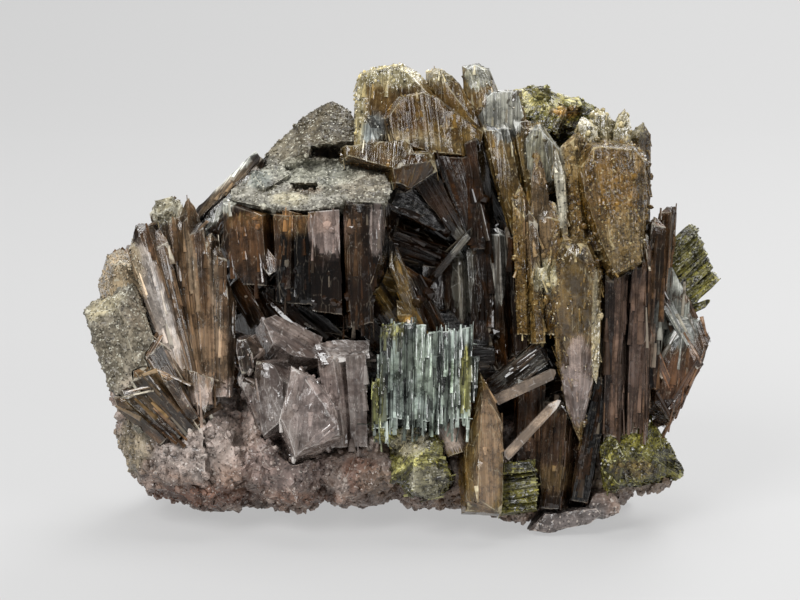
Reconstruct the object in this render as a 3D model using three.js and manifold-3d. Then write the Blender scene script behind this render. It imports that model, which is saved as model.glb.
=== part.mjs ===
// An axinite specimen: a hand-sized cluster of brown axinite blades and green epidote columns on a mauve-
// grey matrix. It stands on the flat cut of its matrix, and its display face leans back a little.
// Places are [across, up, out] in millimetres on that display face: across from its middle, positive to the
// right, up from its foot, and out towards whoever looks at it. Places with the same across and up line up
// from the viewpoint, whatever their depth.
import * as THREE from "three";
import { ConvexGeometry } from "three/addons/geometries/ConvexGeometry.js";
import { mergeVertices } from "three/addons/utils/BufferGeometryUtils.js";
import Module from "manifold-3d";

const wasm = await Module();
wasm.setup();

// Driving dimensions, in millimetres and degrees.
const LEAN = 12; // how far the display face leans back from upright
const VIEW_DISTANCE = 592.6; // from the viewpoint to the display face
const VIEW_HEIGHT = 51.6; // the viewpoint looks straight at this height on the display face
const FOOT_SETBACK = 29; // the middle of the foot lies this far behind the display face's foot line
const GAP = 0.3; // clearance between neighbouring pieces
const ROOM_BELOW = 300; // side of the block that is cut away under the foot

const FINISHES = {
  brown: { color: 0x5a3c22, roughness: 0.25 },
  dark: { color: 0x2a1a12, roughness: 0.2 },
  honey: { color: 0xa07a3a, roughness: 0.3 },
  tan: { color: 0x8a6238, roughness: 0.45 },
  lilac: { color: 0x8d7c7c, roughness: 0.4 },
  crust: { color: 0x8f9089, roughness: 0.8 },
  epidote: { color: 0x7f8a3c, roughness: 0.45 },
  steel: { color: 0x7e8c86, roughness: 0.3 },
  rock: { color: 0x7d6c68, roughness: 0.85 },
};

// Places and chance
function onFace([across, up, out]) {
  const spread = 1 - out / VIEW_DISTANCE;
  return new THREE.Vector3(across * spread, -out, VIEW_HEIGHT + (up - VIEW_HEIGHT) * spread);
}

// A repeatable stream of numbers from 0 to 1.
function chance(seed) {
  let state = (seed * 2654435761) >>> 0;
  return () => {
    state = (state + 0x6d2b79f5) >>> 0;
    let mixed = Math.imul(state ^ (state >>> 15), 1 | state);
    mixed = (mixed + Math.imul(mixed ^ (mixed >>> 7), 61 | mixed)) ^ mixed;
    return ((mixed ^ (mixed >>> 14)) >>> 0) / 4294967296;
  };
}

// Solids
function solidFrom(geometry) {
  const bare = geometry.index ? geometry.toNonIndexed() : geometry.clone();
  bare.deleteAttribute("normal");
  bare.deleteAttribute("uv");
  const merged = mergeVertices(bare);
  return new wasm.Manifold(
    new wasm.Mesh({
      numProp: 3,
      vertProperties: merged.getAttribute("position").array,
      triVerts: new Uint32Array(merged.index.array),
    }),
  );
}

const hullOf = (points) => solidFrom(new ConvexGeometry(points));
const joined = (solids) => solids.reduce((sum, next) => sum.add(next));

// The convex hull of a whole solid.
function hullAround(solid) {
  const { numProp, vertProperties } = solid.getMesh();
  const points = [];
  for (let i = 0; i < vertProperties.length; i += numProp) {
    points.push(new THREE.Vector3().fromArray(vertProperties, i));
  }
  return hullOf(points);
}

// Every form below has a grow, by which it is larger all round: a socket is the same form grown by the gap.

// A crystal blade: tabular, with a parallelogram section that tapers towards its foot and ends in a chisel
// edge, or in a plain slanted break where crest is 0. facing turns its broad face about its own length.
function blade({ foot, tip, wide, thick, facing = 0, crest = 0.12, slant = 0.3, taper = 0.8 }, grow) {
  const start = onFace(foot);
  const along = onFace(tip).sub(start);
  const length = along.length() + 2 * grow;
  along.normalize();
  start.addScaledVector(along, -grow);
  const outward = new THREE.Vector3(0, -1, 0);
  outward.addScaledVector(along, -outward.dot(along)).normalize();
  outward.applyAxisAngle(along, THREE.MathUtils.degToRad(facing));
  const sideways = new THREE.Vector3().crossVectors(along, outward).negate();
  const halfWide = wide / 2 + grow;
  const halfThick = thick / 2 + grow;
  const at = (x, y, z) =>
    start.clone().addScaledVector(sideways, x).addScaledVector(outward, y).addScaledVector(along, z);
  const section = [
    [-1, -0.7],
    [0.55, -1],
    [1, 0.7],
    [-0.55, 1],
  ];
  const ring = (size, height) =>
    section.map(([x, y]) => at(x * halfWide * size, y * halfThick * size, height(x)));
  const foothold = ring(taper, () => 0);
  if (crest === 0) return hullOf([...foothold, ...ring(1, (x) => length + slant * halfWide * x)]);
  const drop = length * crest;
  return hullOf([
    ...foothold,
    ...ring(1, (x) => length - drop * (1 - 0.6 * slant * x)),
    at((0.5 * slant - 0.3) * halfWide, 0, length - drop * Math.max(0, slant) * 0.6),
    at((0.5 * slant + 0.3) * halfWide, 0, length + drop * Math.min(0, slant) * 0.6),
  ]);
}

// A tabular crystal or a broken slab: an outline of [across, up] corners at its back, drawn in by inset at
// its front, with a ridge of [across, up] corners that stands rise out of the front. lean tips its front up,
// and turn swings it to the right.
function plate({ outline, out, thick, inset = 1, ridge = [], rise = 1.5, lean = 0, turn = 0 }, grow) {
  const middle = new THREE.Vector2();
  for (const [across, up] of outline) middle.add(new THREE.Vector2(across, up).divideScalar(outline.length));
  const swing = new THREE.Matrix4()
    .makeRotationZ(THREE.MathUtils.degToRad(turn))
    .multiply(new THREE.Matrix4().makeRotationX(THREE.MathUtils.degToRad(-lean)));
  const layer = (corners, drawnIn, depth) =>
    corners.map(([across, up]) => {
      const arm = new THREE.Vector2(across, up).sub(middle);
      arm.setLength(Math.max(0.2, arm.length() - drawnIn));
      const corner = new THREE.Vector3(arm.x, -depth, arm.y).applyMatrix4(swing);
      return corner.add(onFace([middle.x, middle.y, out]));
    });
  const half = thick / 2 + grow;
  return hullOf([
    ...layer(outline, -1.3 * grow, -half),
    ...layer(outline, inset - 1.3 * grow, half),
    ...layer(ridge, 0, half + rise),
  ]);
}

// A convex block of crust or rock with its corners given one by one.
function block({ corners }, grow) {
  const points = corners.map(onFace);
  const middle = new THREE.Vector3();
  points.forEach((point) => middle.addScaledVector(point, 1 / points.length));
  return hullOf(points.map((point) => point.add(point.clone().sub(middle).setLength(1.6 * grow))));
}

// A lump of massive rock: the hull of corners scattered over an ellipsoid of the half sizes [across, up,
// out], flattened below its floor where it has one.
function lump({ at, half, seed, corners = 14, floor = -Infinity }, grow) {
  const next = chance(seed);
  const [across, up, out] = half;
  const points = [];
  for (let i = 0; i < corners; i += 1) {
    const height = 1 - (2 * (i + 0.5)) / corners;
    const ring = Math.sqrt(1 - height * height);
    const angle = i * 2.4 + next() * 0.9;
    const reach = 0.96 + 0.14 * next();
    const place = onFace([
      at[0] + ring * Math.cos(angle) * across * reach,
      Math.max(floor, at[1] + height * up * reach),
      at[2] + ring * Math.sin(angle) * out * reach,
    ]);
    points.push(place.add(place.clone().sub(onFace(at)).setLength(1.6 * grow)));
  }
  return hullOf(points);
}

const listOf = (form) => (specs) => specs.map((spec) => ({ form, spec }));
const blades = listOf(blade);
const plates = listOf(plate);
const blocks = listOf(block);
const lumps = listOf(lump);

// Columns that stand side by side between two ends of a row, each a narrow blade of its own length.
function row({ from, to, rise, count, wide, thick, crest = 0, uneven, seed }) {
  const next = chance(seed);
  return Array.from({ length: count }, (_, i) => {
    const share = (i + 0.5) / count;
    const step = 1.4 * (next() - 0.5);
    const foot = from.map((start, k) => start + (to[k] - start) * share + (k === 2 ? step : 0));
    const stretch = 1 + uneven * (next() - 0.5);
    return {
      foot,
      tip: foot.map((start, k) => start + rise[k] * stretch),
      wide: wide * (0.9 + 0.5 * next()),
      thick,
      facing: 20 * (next() - 0.5),
      crest,
      slant: 0.6 * (next() - 0.5),
      taper: 1,
    };
  });
}

// The crystals on the left of the display face
const leftFan = [
  ...plates([
    {
      outline: [
        [-60.4, 63], [-58.5, 68.7], [-55.4, 68.4], [-53.4, 62], [-50, 48], [-45.6, 33], [-48.6, 31],
        [-52, 40],
      ],
      out: 4, thick: 5, inset: 0.7, ridge: [[-57, 66], [-48.6, 38]], rise: 0.7, turn: -12,
    },
  ]),
  ...blades([
    {
      foot: [-46, 32, 4], tip: [-54.4, 67.8, 2],
      wide: 4.6, thick: 4.6, facing: 26, slant: -0.3, taper: 0.6,
    },
    { foot: [-45, 32, 3], tip: [-53.2, 73.2, -3], wide: 5, thick: 5, facing: -12, crest: 0.06, taper: 0.6 },
    { foot: [-44, 31, 3], tip: [-50.4, 74, -3], wide: 4.6, thick: 5, facing: 18, crest: 0.06, slant: -0.4 },
    { foot: [-43, 31, 4], tip: [-47.6, 74.4, 0], wide: 4.4, thick: 5, facing: -24, slant: -0.3 },
    { foot: [-42, 31, 4], tip: [-45.2, 69, 2], wide: 4.2, thick: 5, facing: 14, crest: 0.06, slant: -0.5 },
    { foot: [-41, 30, 5], tip: [-42.6, 66.6, 2], wide: 4, thick: 5, facing: -12, crest: 0.06, slant: -0.3 },
    { foot: [-39.8, 30, 5], tip: [-40.2, 64, 2], wide: 4, thick: 5, facing: 20, crest: 0.1, slant: 0.4 },
    { foot: [-38.6, 30, 6], tip: [-38.4, 58, 3], wide: 3.4, thick: 4, facing: -16, crest: 0.2, slant: 0.4 },
  ]),
  ...lumps([{ at: [-51.8, 71.4, -2.4], half: [3.8, 3.6, 4], seed: 2, corners: 10 }]),
];
const lowLeftSpray = [
  ...blades([
    {
      foot: [-44.6, 23, 6], tip: [-56.8, 43.6, 7],
      wide: 6.4, thick: 4.4, facing: 26, crest: 0.16, slant: -0.3,
    },
    { foot: [-46, 22.5, 8], tip: [-58.4, 36.6, 9.6], wide: 5.4, thick: 4.4, facing: -12, crest: 0.1 },
    { foot: [-45.6, 25, 8], tip: [-52.8, 36, 10.6], wide: 3.4, thick: 3.4, facing: 20, crest: 0.2 },
    { foot: [-49, 21, 8], tip: [-61.2, 32.4, 9.4], wide: 4.8, thick: 4, facing: 18, crest: 0.16 },
    { foot: [-52, 20.6, 7], tip: [-63.2, 30.6, 7.4], wide: 4, thick: 3.4, facing: -24, crest: 0.24 },
  ]),
  ...plates([
    {
      outline: [[-47.8, 36.4], [-44.6, 33.6], [-41, 34.2], [-42, 31.2], [-43.8, 25], [-46, 28]],
      out: 8, thick: 5, inset: 0.6, turn: 14, lean: 10,
    },
  ]),
];
const paleCornerCrystal = plates([
  {
    outline: [
      [-67.6, 55], [-65.4, 61.8], [-62.4, 63.4], [-60, 62.6], [-55, 60], [-52, 50], [-63, 46], [-66.4, 51],
    ],
    out: -5, thick: 12, inset: 3, ridge: [[-62.6, 59.6], [-60, 52]], rise: 1, turn: 4,
  },
]);
const cornerBlock = plates([
  {
    outline: [
      [-70.4, 50], [-66, 51.4], [-59, 56.4], [-54.6, 47], [-47, 27], [-57, 21], [-64, 31], [-66.6, 41],
    ],
    out: 0, thick: 15, inset: 1.6, ridge: [[-61.6, 50], [-56, 32]], rise: 2.4,
  },
]);

// The slanted blades and the large crystals at the upper left, under their grey crust
const slantedBlades = blades([
  {
    foot: [-45.2, 68.8, -5], tip: [-30.4, 82.4, -10],
    wide: 5, thick: 5, facing: -34, crest: 0, slant: 0.2,
  },
  { foot: [-43, 67.6, -4], tip: [-30.6, 79.8, -6], wide: 5, thick: 5, facing: 4, crest: 0, slant: 0.1 },
  { foot: [-42, 66, -2], tip: [-32, 77.6, -4], wide: 4.4, thick: 5, facing: 22, crest: 0, slant: -0.3 },
  {
    foot: [-40.4, 64.2, -1], tip: [-34.4, 74.6, -2],
    wide: 3.4, thick: 5, facing: -28, crest: 0, slant: 0.4,
  },
  { foot: [-41, 72.6, -10], tip: [-28.6, 82.2, -14], wide: 4.6, thick: 6, facing: 14, crest: 0 },
]);
const plateauCrystals = [
  ...plates([
    {
      outline: [[-38.2, 74.8], [-33.6, 73.8], [-27.6, 71.8], [-27, 54], [-33, 54], [-38.4, 62]],
      out: 2, thick: 15, inset: 1.4, turn: -12, lean: -4,
    },
    {
      outline: [[-28.6, 71.6], [-19.8, 71.4], [-18.6, 50], [-27.8, 51]],
      out: 4, thick: 17, inset: 0.8, turn: 4, lean: -4,
    },
    {
      outline: [[-20.4, 71.6], [-13.2, 72.2], [-12.4, 48], [-19.4, 49]],
      out: 6, thick: 18, inset: 0.6, lean: -2,
    },
    {
      outline: [[-13.8, 73.8], [-8, 73.6], [-7.4, 46], [-12.8, 45]],
      out: 6, thick: 19, inset: 1, turn: 12, lean: -2,
    },
    {
      outline: [[-8.6, 73.6], [-3, 73.2], [-2.8, 61], [-5.2, 55], [-8, 53]],
      out: 5.6, thick: 18, inset: 0.6, turn: -6,
    },
  ]),
  ...blades([
    {
      foot: [-27.6, 57.6, 9], tip: [-37, 70.6, 5],
      wide: 5.4, thick: 3.6, facing: 24, crest: 0, slant: -0.3,
    },
    { foot: [-29.6, 58, 6], tip: [-39.6, 66.4, 2], wide: 4.6, thick: 4, facing: -14, slant: -0.3 },
    { foot: [-24.4, 54, 11.6], tip: [-24, 71.4, 11.6], wide: 3.4, thick: 3.6, facing: -26, crest: 0 },
    { foot: [-10.6, 49, 14], tip: [-11, 73.2, 14], wide: 3.6, thick: 3.4, facing: 30, crest: 0 },
  ]),
];
const plateauCrust = blocks([
  {
    corners: [
      [-37, 73.8, 5], [-28, 71.8, 11], [-20, 71.6, 13.6], [-12, 73.6, 14.6], [-3.6, 73.2, 13.4],
      [-2.4, 76.6, 7], [-3.4, 80, -4], [-7.4, 82, -10], [-15, 83.2, -13],
      [-25, 82.8, -13], [-32, 80, -10], [-37.8, 76.6, -3],
      [-34, 69, -10], [-20, 66, -11], [-5, 67, -9],
    ],
  },
  { corners: [[-33, 80, -4], [-27, 82.6, -7], [-24, 80, -1], [-30, 76, 3], [-34, 76, -2], [-28, 74, -6]] },
]);
const greyHump = blocks([
  {
    corners: [
      [-29.4, 84.2, -14], [-25, 89, -16], [-20, 93.2, -17], [-15, 95.6, -18], [-11.6, 94.4, -17],
      [-9.6, 90, -13], [-9.2, 86, -8], [-14, 87, -5.4], [-21, 85.6, -5], [-27, 81.6, -5], [-30, 79, -8],
      [-30, 74, -16], [-12, 76, -16], [-26, 80, -32], [-14, 86, -32], [-20, 89, -28],
    ],
  },
  {
    corners: [
      [-16.4, 91, -11], [-10.4, 91.6, -12], [-9.8, 87, -6.4], [-14, 86.8, -4.6], [-17, 87.4, -6],
      [-12, 84, -14],
    ],
  },
]);
const crustPits = plates([
  {
    outline: [[-25.4, 78], [-18.4, 77.8], [-17.8, 75.4], [-23.6, 75.2]],
    out: 4, thick: 13, inset: 0.3,
  },
  {
    outline: [[-21.4, 83], [-9.4, 82.6], [-9.4, 86.4], [-14, 86.6], [-20, 85.8]],
    out: -7, thick: 14, inset: 0.3,
  },
]);

// The honey and silver plates at the top
const topBlock = plates([
  {
    outline: [
      [-10.8, 86], [-10.9, 99.6], [-9.6, 102.8], [-4.6, 104.2], [0, 104.8], [3.4, 103],
      [6.2, 99.8], [12, 93.6],
      [14, 86], [-2, 83],
    ],
    out: -9, thick: 9, inset: 1.8, turn: -6,
  },
  {
    outline: [
      [-4.4, 92], [-1, 97], [4, 98.4], [7.6, 97.6], [13, 93.4], [19, 88.6], [18, 83], [8, 83], [-3, 86],
    ],
    out: -5.4, thick: 7, inset: 1, turn: 10,
  },
  {
    outline: [[-8.8, 92.4], [-6.6, 93], [-4.6, 90], [-3.2, 86], [-5, 83], [-9.6, 84]],
    out: -4, thick: 7, inset: 0.5, turn: -24,
  },
]);
const topPoints = plates([
  {
    outline: [[5.8, 99], [6, 102.6], [8, 103.6], [11.2, 102.2], [13.6, 100.2], [17, 94], [19, 88], [10, 90]],
    out: -11, thick: 7, inset: 1, ridge: [[8.6, 101], [15, 92]], rise: 1, turn: 6,
  },
  {
    outline: [
      [13.6, 104.2], [17, 104.8], [19.4, 103.4], [20.8, 100], [25, 90], [22, 84], [16, 88], [13.8, 98],
    ],
    out: -12.4, thick: 7, inset: 0.8, ridge: [[15.8, 102.6], [20, 90]], rise: 1.4, turn: -10,
  },
]);
const silverCrystals = [
  ...plates([
    {
      outline: [[18, 96], [20.8, 98.4], [24, 98], [26.8, 98.6], [27.6, 93], [30, 84], [22, 82], [18.6, 90]],
      out: -9, thick: 7, inset: 0.6, turn: -8,
    },
    {
      outline: [[26.4, 90.6], [30.6, 91.8], [36.4, 84.6], [36, 76], [30, 72], [26.6, 80]],
      out: -6.4, thick: 8, inset: 1, ridge: [[30.4, 89], [33, 78]], rise: 1.2, turn: 8,
    },
  ]),
  ...blades([
    { foot: [26, 66, -4], tip: [19.6, 91, -5.4], wide: 5, thick: 5, facing: 24, crest: 0.08, slant: 0.4 },
    { foot: [28, 66, -4], tip: [23, 91.6, -6], wide: 4.6, thick: 5, facing: -12, crest: 0.08 },
    { foot: [31, 66, -5], tip: [26.6, 92.4, -7], wide: 5, thick: 5, facing: 20, crest: 0.06 },
  ]),
];
const armCrystal = plates([
  {
    outline: [[-13.4, 85.4], [-13, 82.6], [-5, 80.4], [0, 79], [4, 83], [2.4, 87], [-4, 86]],
    out: -3.6, thick: 8, inset: 0.8, lean: 10, turn: 4,
  },
  {
    outline: [[-4, 81.6], [-3, 77], [1.6, 75.2], [4.6, 77.4], [9.4, 80.6], [8, 86], [1, 86]],
    out: -4.4, thick: 9, inset: 1.6, ridge: [[0, 82], [6, 83]], rise: 1, lean: -8, turn: 8,
  },
]);

// The dark crystals round the central hollow, and the massive axinite that they grow from
const hollowColumns = blades([
  { foot: [15, 64, -7], tip: [2.4, 87.4, -6], wide: 10, thick: 5, facing: -18, crest: 0.1, taper: 0.35 },
  { foot: [17, 64, -6], tip: [9.6, 88.4, -5], wide: 8, thick: 6, facing: 12, crest: 0.08, taper: 0.4 },
  { foot: [19, 63, -6], tip: [15.4, 88.2, -5], wide: 6.4, thick: 6, facing: -10, crest: 0.06, slant: -0.4 },
  {
    foot: [15, 66, -10], tip: [-3, 76, -9],
    wide: 9, thick: 6, facing: 20, crest: 0.1, slant: -0.3, taper: 0.5,
  },
  { foot: [13, 60, -11], tip: [-4, 66, -9], wide: 10, thick: 6, facing: -14, crest: 0.1, taper: 0.6 },
  {
    foot: [5, 53.6, -8.4], tip: [16.4, 67.6, -3.4],
    wide: 2, thick: 1.8, facing: 20, crest: 0.1, taper: 1.1,
  },
  { foot: [8, 38, -9], tip: [7, 61, -11], wide: 6, thick: 5, facing: 20, crest: 0.1 },
  { foot: [13.4, 37, -8], tip: [12.6, 64, -10], wide: 6.4, thick: 5, facing: -18, crest: 0.1 },
  { foot: [18.6, 36, -6.4], tip: [17, 67, -8.4], wide: 6, thick: 5, facing: 10, crest: 0.06 },
  { foot: [23.4, 36, -5], tip: [21.4, 68, -7], wide: 5.4, thick: 5, facing: -22, crest: 0.06 },
  { foot: [27, 38, -3], tip: [25, 69, -5], wide: 4.8, thick: 5, facing: 16, crest: 0.06 },
]);
const innerBlades = blades([
  { foot: [3, 41, 1], tip: [-9, 57.6, -1], wide: 5.6, thick: 5, facing: -14, crest: 0.1 },
  { foot: [-2, 40, 2], tip: [-20.4, 59, -1], wide: 6, thick: 5, facing: 24, crest: 0.1 },
  { foot: [-8, 39, 2], tip: [-26.4, 56, -3], wide: 7, thick: 6, facing: -18, crest: 0.14, slant: -0.3 },
  { foot: [-15, 38, 1], tip: [-32.6, 55.4, -4], wide: 9, thick: 6, facing: 12, crest: 0.14 },
  { foot: [-24, 36, 1], tip: [-36.4, 58.6, -3], wide: 7, thick: 6, facing: -24, crest: 0.1, slant: -0.3 },
]);
const goldenBlades = blades([
  {
    foot: [5, 44, 0], tip: [-3.4, 65.4, 3],
    wide: 4.4, thick: 4, facing: 20, crest: 0.2, slant: -0.5, taper: 1.1,
  },
  {
    foot: [7.6, 45, -3], tip: [-0.4, 61, 1],
    wide: 4.4, thick: 4, facing: -18, crest: 0.24, slant: 0.5, taper: 1.1,
  },
  { foot: [3.6, 41, 1], tip: [0, 52, 4], wide: 4.4, thick: 4, facing: 6, crest: 0.3 },
]);
const massiveAxinite = lumps([
  { at: [-24, 56, -15], half: [19, 18, 15], seed: 111, corners: 12 },
  { at: [8, 62, -22], half: [24, 26, 13], seed: 112, corners: 12 },
  { at: [40, 60, -16], half: [16, 26, 14], seed: 113, corners: 12 },
  { at: [4, 38, -15], half: [44, 14, 14], seed: 114 },
]);

const hollowCrystals = [...hollowColumns, ...innerBlades, ...goldenBlades, ...massiveAxinite];

// The pale lilac crystals low in the middle
const lilacCrystals = [
  ...plates([
    {
      outline: [[-25, 37.6], [-20, 35.8], [-16.2, 32.4], [-13.4, 28], [-12.4, 20], [-24, 15], [-28, 24]],
      out: 8, thick: 13, inset: 1.6, ridge: [[-22, 34], [-15.6, 25]], rise: 1.6, lean: 8, turn: 4,
    },
    {
      outline: [[-30.4, 38.8], [-26, 38.6], [-22.6, 34], [-22.6, 24], [-28, 20], [-32, 30]],
      out: 6.6, thick: 12, inset: 1.2, lean: 4, turn: -20,
    },
    {
      outline: [[-19.8, 40.6], [-14.6, 42.2], [-6, 41.4], [-6, 37], [-18, 35]],
      out: 4, thick: 10, inset: 0.8, lean: 18,
    },
    {
      outline: [[-32, 46.6], [-28.6, 48], [-22, 45.8], [-16.6, 41.8], [-17, 36], [-24, 36], [-30, 40]],
      out: 2, thick: 9, inset: 1.2, lean: 20, turn: 10,
    },
    {
      outline: [[-36, 43.8], [-33, 44], [-30.6, 40], [-31, 35], [-34.6, 34], [-36.4, 39]],
      out: 5.6, thick: 6, turn: -16,
    },
  ]),
  ...blades([
    { foot: [-12.4, 19, 6], tip: [-15, 40.6, 7], wide: 5.6, thick: 7, facing: -22, crest: 0.08 },
    { foot: [-9, 19, 6], tip: [-10, 40.8, 7], wide: 5.4, thick: 7, facing: 14, crest: 0.06, slant: -0.4 },
    { foot: [-29, 21, 5], tip: [-34.6, 35.4, 5], wide: 4.4, thick: 5, facing: 24, crest: 0.2 },
  ]),
];

// The tall crystals on the right of the display face
const rightBlock = [
  ...plates([
    {
      outline: [
        [36.8, 83], [40.6, 88.6], [46, 88], [52.4, 87.6], [55.8, 84.6], [56.2, 74], [54, 57], [47, 54],
        [44, 59], [40, 67], [36.8, 74],
      ],
      out: 3.6, thick: 14, inset: 3.4, ridge: [[42, 82], [45, 68], [51, 78]], rise: 1.4, turn: 4,
    },
  ]),
  ...blades([
    { foot: [41, 62, 6], tip: [38, 89, 5.4], wide: 5.4, thick: 6, facing: -24, crest: 0.1, slant: -0.5 },
    { foot: [43, 62, 5], tip: [41.2, 92.6, 0], wide: 5.4, thick: 8, facing: 12, crest: 0.1 },
    { foot: [46.6, 60, 4], tip: [45, 94.6, -4], wide: 5, thick: 8, facing: -14, crest: 0.08, slant: 0.5 },
    { foot: [50.4, 58, 2], tip: [48.6, 94.4, -5], wide: 5, thick: 8, facing: 12, crest: 0.12, slant: -0.5 },
    { foot: [53, 58, -1], tip: [52.6, 91, -7], wide: 5.4, thick: 7, facing: -18, crest: 0.1, slant: -0.5 },
  ]),
];
const whiteEdge = blades([
  { foot: [36.8, 64, 7], tip: [34.6, 86.6, 7.6], wide: 3, thick: 3.4, facing: 14, crest: 0.3, taper: 0.5 },
  {
    foot: [40.6, 57.6, 8.4], tip: [36.2, 66.6, 8],
    wide: 1.8, thick: 2.4, facing: 20, crest: 0.2, taper: 1,
  },
]);
const centreSpires = [
  ...blades([
    { foot: [30.6, 42, 1], tip: [31.2, 85.4, 3], wide: 5, thick: 5, facing: 14, crest: 0.2 },
    {
      foot: [28.2, 44, 1], tip: [27.4, 78.6, 2.4],
      wide: 4.4, thick: 5, facing: -26, crest: 0.22, slant: 0.5,
    },
    { foot: [30.8, 42, 4], tip: [29, 71.6, 4.6], wide: 2.6, thick: 4, facing: 24, crest: 0.1, taper: 1 },
    { foot: [34.8, 44, 3], tip: [34, 74, 4], wide: 6.4, thick: 6, facing: -10, crest: 0.14 },
  ]),
  ...lumps([{ at: [32.2, 56.8, 7], half: [2.4, 3, 3], seed: 21, corners: 10 }]),
];
const wedgeCrystal = [
  ...plates([
    {
      outline: [
        [33, 58], [36, 66], [42, 66], [44.6, 60], [44.4, 48], [43.6, 34], [40, 19], [37, 26], [34.4, 38],
      ],
      out: 5.4, thick: 8, inset: 1.4, lean: -8, turn: -6,
      ridge: [[39.4, 62], [40.4, 40], [40, 24]], rise: 1.4,
    },
  ]),
  ...blades([
    { foot: [44, 58, 7], tip: [43.2, 32.6, 10.4], wide: 2.4, thick: 3, facing: 20, crest: 0.2 },
  ]),
];
const rightColumns = blades([
  { foot: [46, 20, 2], tip: [46.4, 58, 4.4], wide: 3.8, thick: 6, facing: 22, crest: 0.06 },
  { foot: [48.6, 20, 3], tip: [49.6, 60, 5], wide: 3.8, thick: 6, facing: -18, crest: 0.06, slant: -0.3 },
  { foot: [51, 21, 2], tip: [52.6, 63, 4.4], wide: 3.8, thick: 6, facing: 20, crest: 0.06 },
  { foot: [53.4, 23, 3], tip: [54.8, 66.6, 3], wide: 4, thick: 6, facing: -12, crest: 0.08 },
  { foot: [55.4, 32, 0], tip: [57.2, 70.4, 1], wide: 4.2, thick: 6, facing: 14, crest: 0.06 },
  { foot: [57.2, 40, -3], tip: [59.6, 72.6, -3], wide: 4, thick: 5, facing: -10, crest: 0.05, slant: -0.3 },
]);
const edgePlates = [
  ...plates([
    {
      outline: [
        [56.6, 42], [61, 49.4], [66.2, 48.4], [69.2, 44], [67.2, 36], [58.6, 23], [54, 28],
      ],
      out: -5, thick: 9, inset: 1.4, ridge: [[61, 44], [64, 38], [60, 30]], rise: 1, turn: 10,
    },
    {
      outline: [[58, 60], [60.4, 59.6], [62.6, 56], [65, 51], [64, 44], [57, 46]],
      out: -6, thick: 6, inset: 0.6, turn: -6,
    },
  ]),
  ...blades([
    {
      foot: [66.6, 36.6, -1.6], tip: [58, 52.6, 0],
      wide: 3.2, thick: 3.2, facing: 24, crest: 0.05, slant: 0.4,
    },
    { foot: [61.8, 28.2, -1.4], tip: [56, 41, 1], wide: 2.6, thick: 3, facing: 14, crest: 0.08 },
  ]),
];
const lowPrisms = [
  ...blades([
    { foot: [39.6, 7, 1], tip: [45.4, 37, 2], wide: 6, thick: 7, facing: 16, crest: 0.1 },
    { foot: [34, 5, 2], tip: [36, 31, 1], wide: 7.6, thick: 8, facing: -12, crest: 0.1 },
    { foot: [28, 7, -1], tip: [29, 36, -3], wide: 8, thick: 8, facing: 18, crest: 0.1 },
    { foot: [18, 30, -2], tip: [33, 41, -1], wide: 6.4, thick: 6, facing: 24, crest: 0.1 },
  ]),
  ...lumps([{ at: [34, 18, -3], half: [9, 9, 4], seed: 91, corners: 8 }]),
];

// The small crystals in front, low on the right
const finCrystal = plates([
  {
    outline: [[17.4, 36.4], [20, 32], [23, 25], [23.2, 14], [22.4, 3.4], [14, 4], [13, 18], [16, 25]],
    out: 8, thick: 6, inset: 1, ridge: [[17.6, 32], [16.6, 22], [16.4, 8]], rise: 3, turn: 6,
  },
  {
    outline: [[7, 26.6], [10, 29.8], [16.6, 31.6], [17.4, 27], [13, 23]],
    out: 7, thick: 5, inset: 0.6, lean: 20, turn: -10,
  },
  {
    outline: [[7.2, 25.6], [13, 25.4], [15, 18], [11.2, 16.6]],
    out: 9, thick: 5, inset: 0.5, lean: -8, turn: -20,
  },
]);
const upperLath = blades([
  { foot: [21.4, 29.4, 5], tip: [34.8, 35.6, 7], wide: 3, thick: 2.2, facing: 24, crest: 0.08, taper: 1 },
]);
const lowerLath = blades([
  {
    foot: [23.4, 16.8, 8], tip: [35.4, 29.6, 10],
    wide: 2.6, thick: 2, facing: 20, slant: -0.3, taper: 1.1,
  },
]);
const frontSlab = plates([
  {
    outline: [[28, 0.6], [31.4, 4.6], [36, 5.6], [43.6, 6], [44.6, 4.6], [42, 2.6], [38, 1.6], [32, 0.2]],
    out: -3, thick: 14, inset: 0.6,
  },
  {
    outline: [[39.4, 6.4], [41.4, 10], [46.4, 10.2], [48.8, 6.4], [48, 4.4], [44.4, 2.6], [40.4, 3.6]],
    out: -4, thick: 12, inset: 1, turn: 10,
  },
]);

// The epidote
const epidoteFence = [
  ...plates([{ outline: [[-4.4, 44], [15.6, 42], [14.6, 24], [-4, 24]], out: 8.6, thick: 5, inset: 0.4 }]),
  ...blades([
    ...row({
      from: [-3.8, 25, 11], to: [5.4, 25, 12.4], rise: [0.4, 21.4, -1],
      count: 4, wide: 2.6, thick: 5.6, uneven: 0.03, seed: 31,
    }),
    ...row({
      from: [5.4, 24.4, 12.4], to: [15.2, 25.4, 11.4], rise: [0.9, 20, -1],
      count: 4, wide: 2.7, thick: 5.6, uneven: 0.04, seed: 37,
    }),
    ...row({
      from: [-5.8, 23, 11.4], to: [-3, 23, 12], rise: [-0.6, 12.4, -1],
      count: 2, wide: 1.7, thick: 4.6, uneven: 0.3, seed: 41,
    }),
    ...row({
      from: [15, 28, 10.6], to: [16.8, 28, 10], rise: [0.9, 11.4, -0.6],
      count: 1, wide: 2, thick: 4.6, uneven: 0.1, seed: 43,
    }),
  ]),
];
const epidoteShelf = lumps([
  { at: [-0.4, 23, 8], half: [6.6, 4.4, 6.4], seed: 51, corners: 12 },
  { at: [5.4, 15.6, 7], half: [7.6, 9, 7.6], seed: 52 },
]);
const epidoteSideBundle = blades(
  row({
    from: [21.6, 4, 4], to: [21.8, 14.8, 5], rise: [8.4, 1, 0.4],
    count: 6, wide: 2.1, thick: 5, uneven: 0.2, seed: 61,
  }),
);
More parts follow.
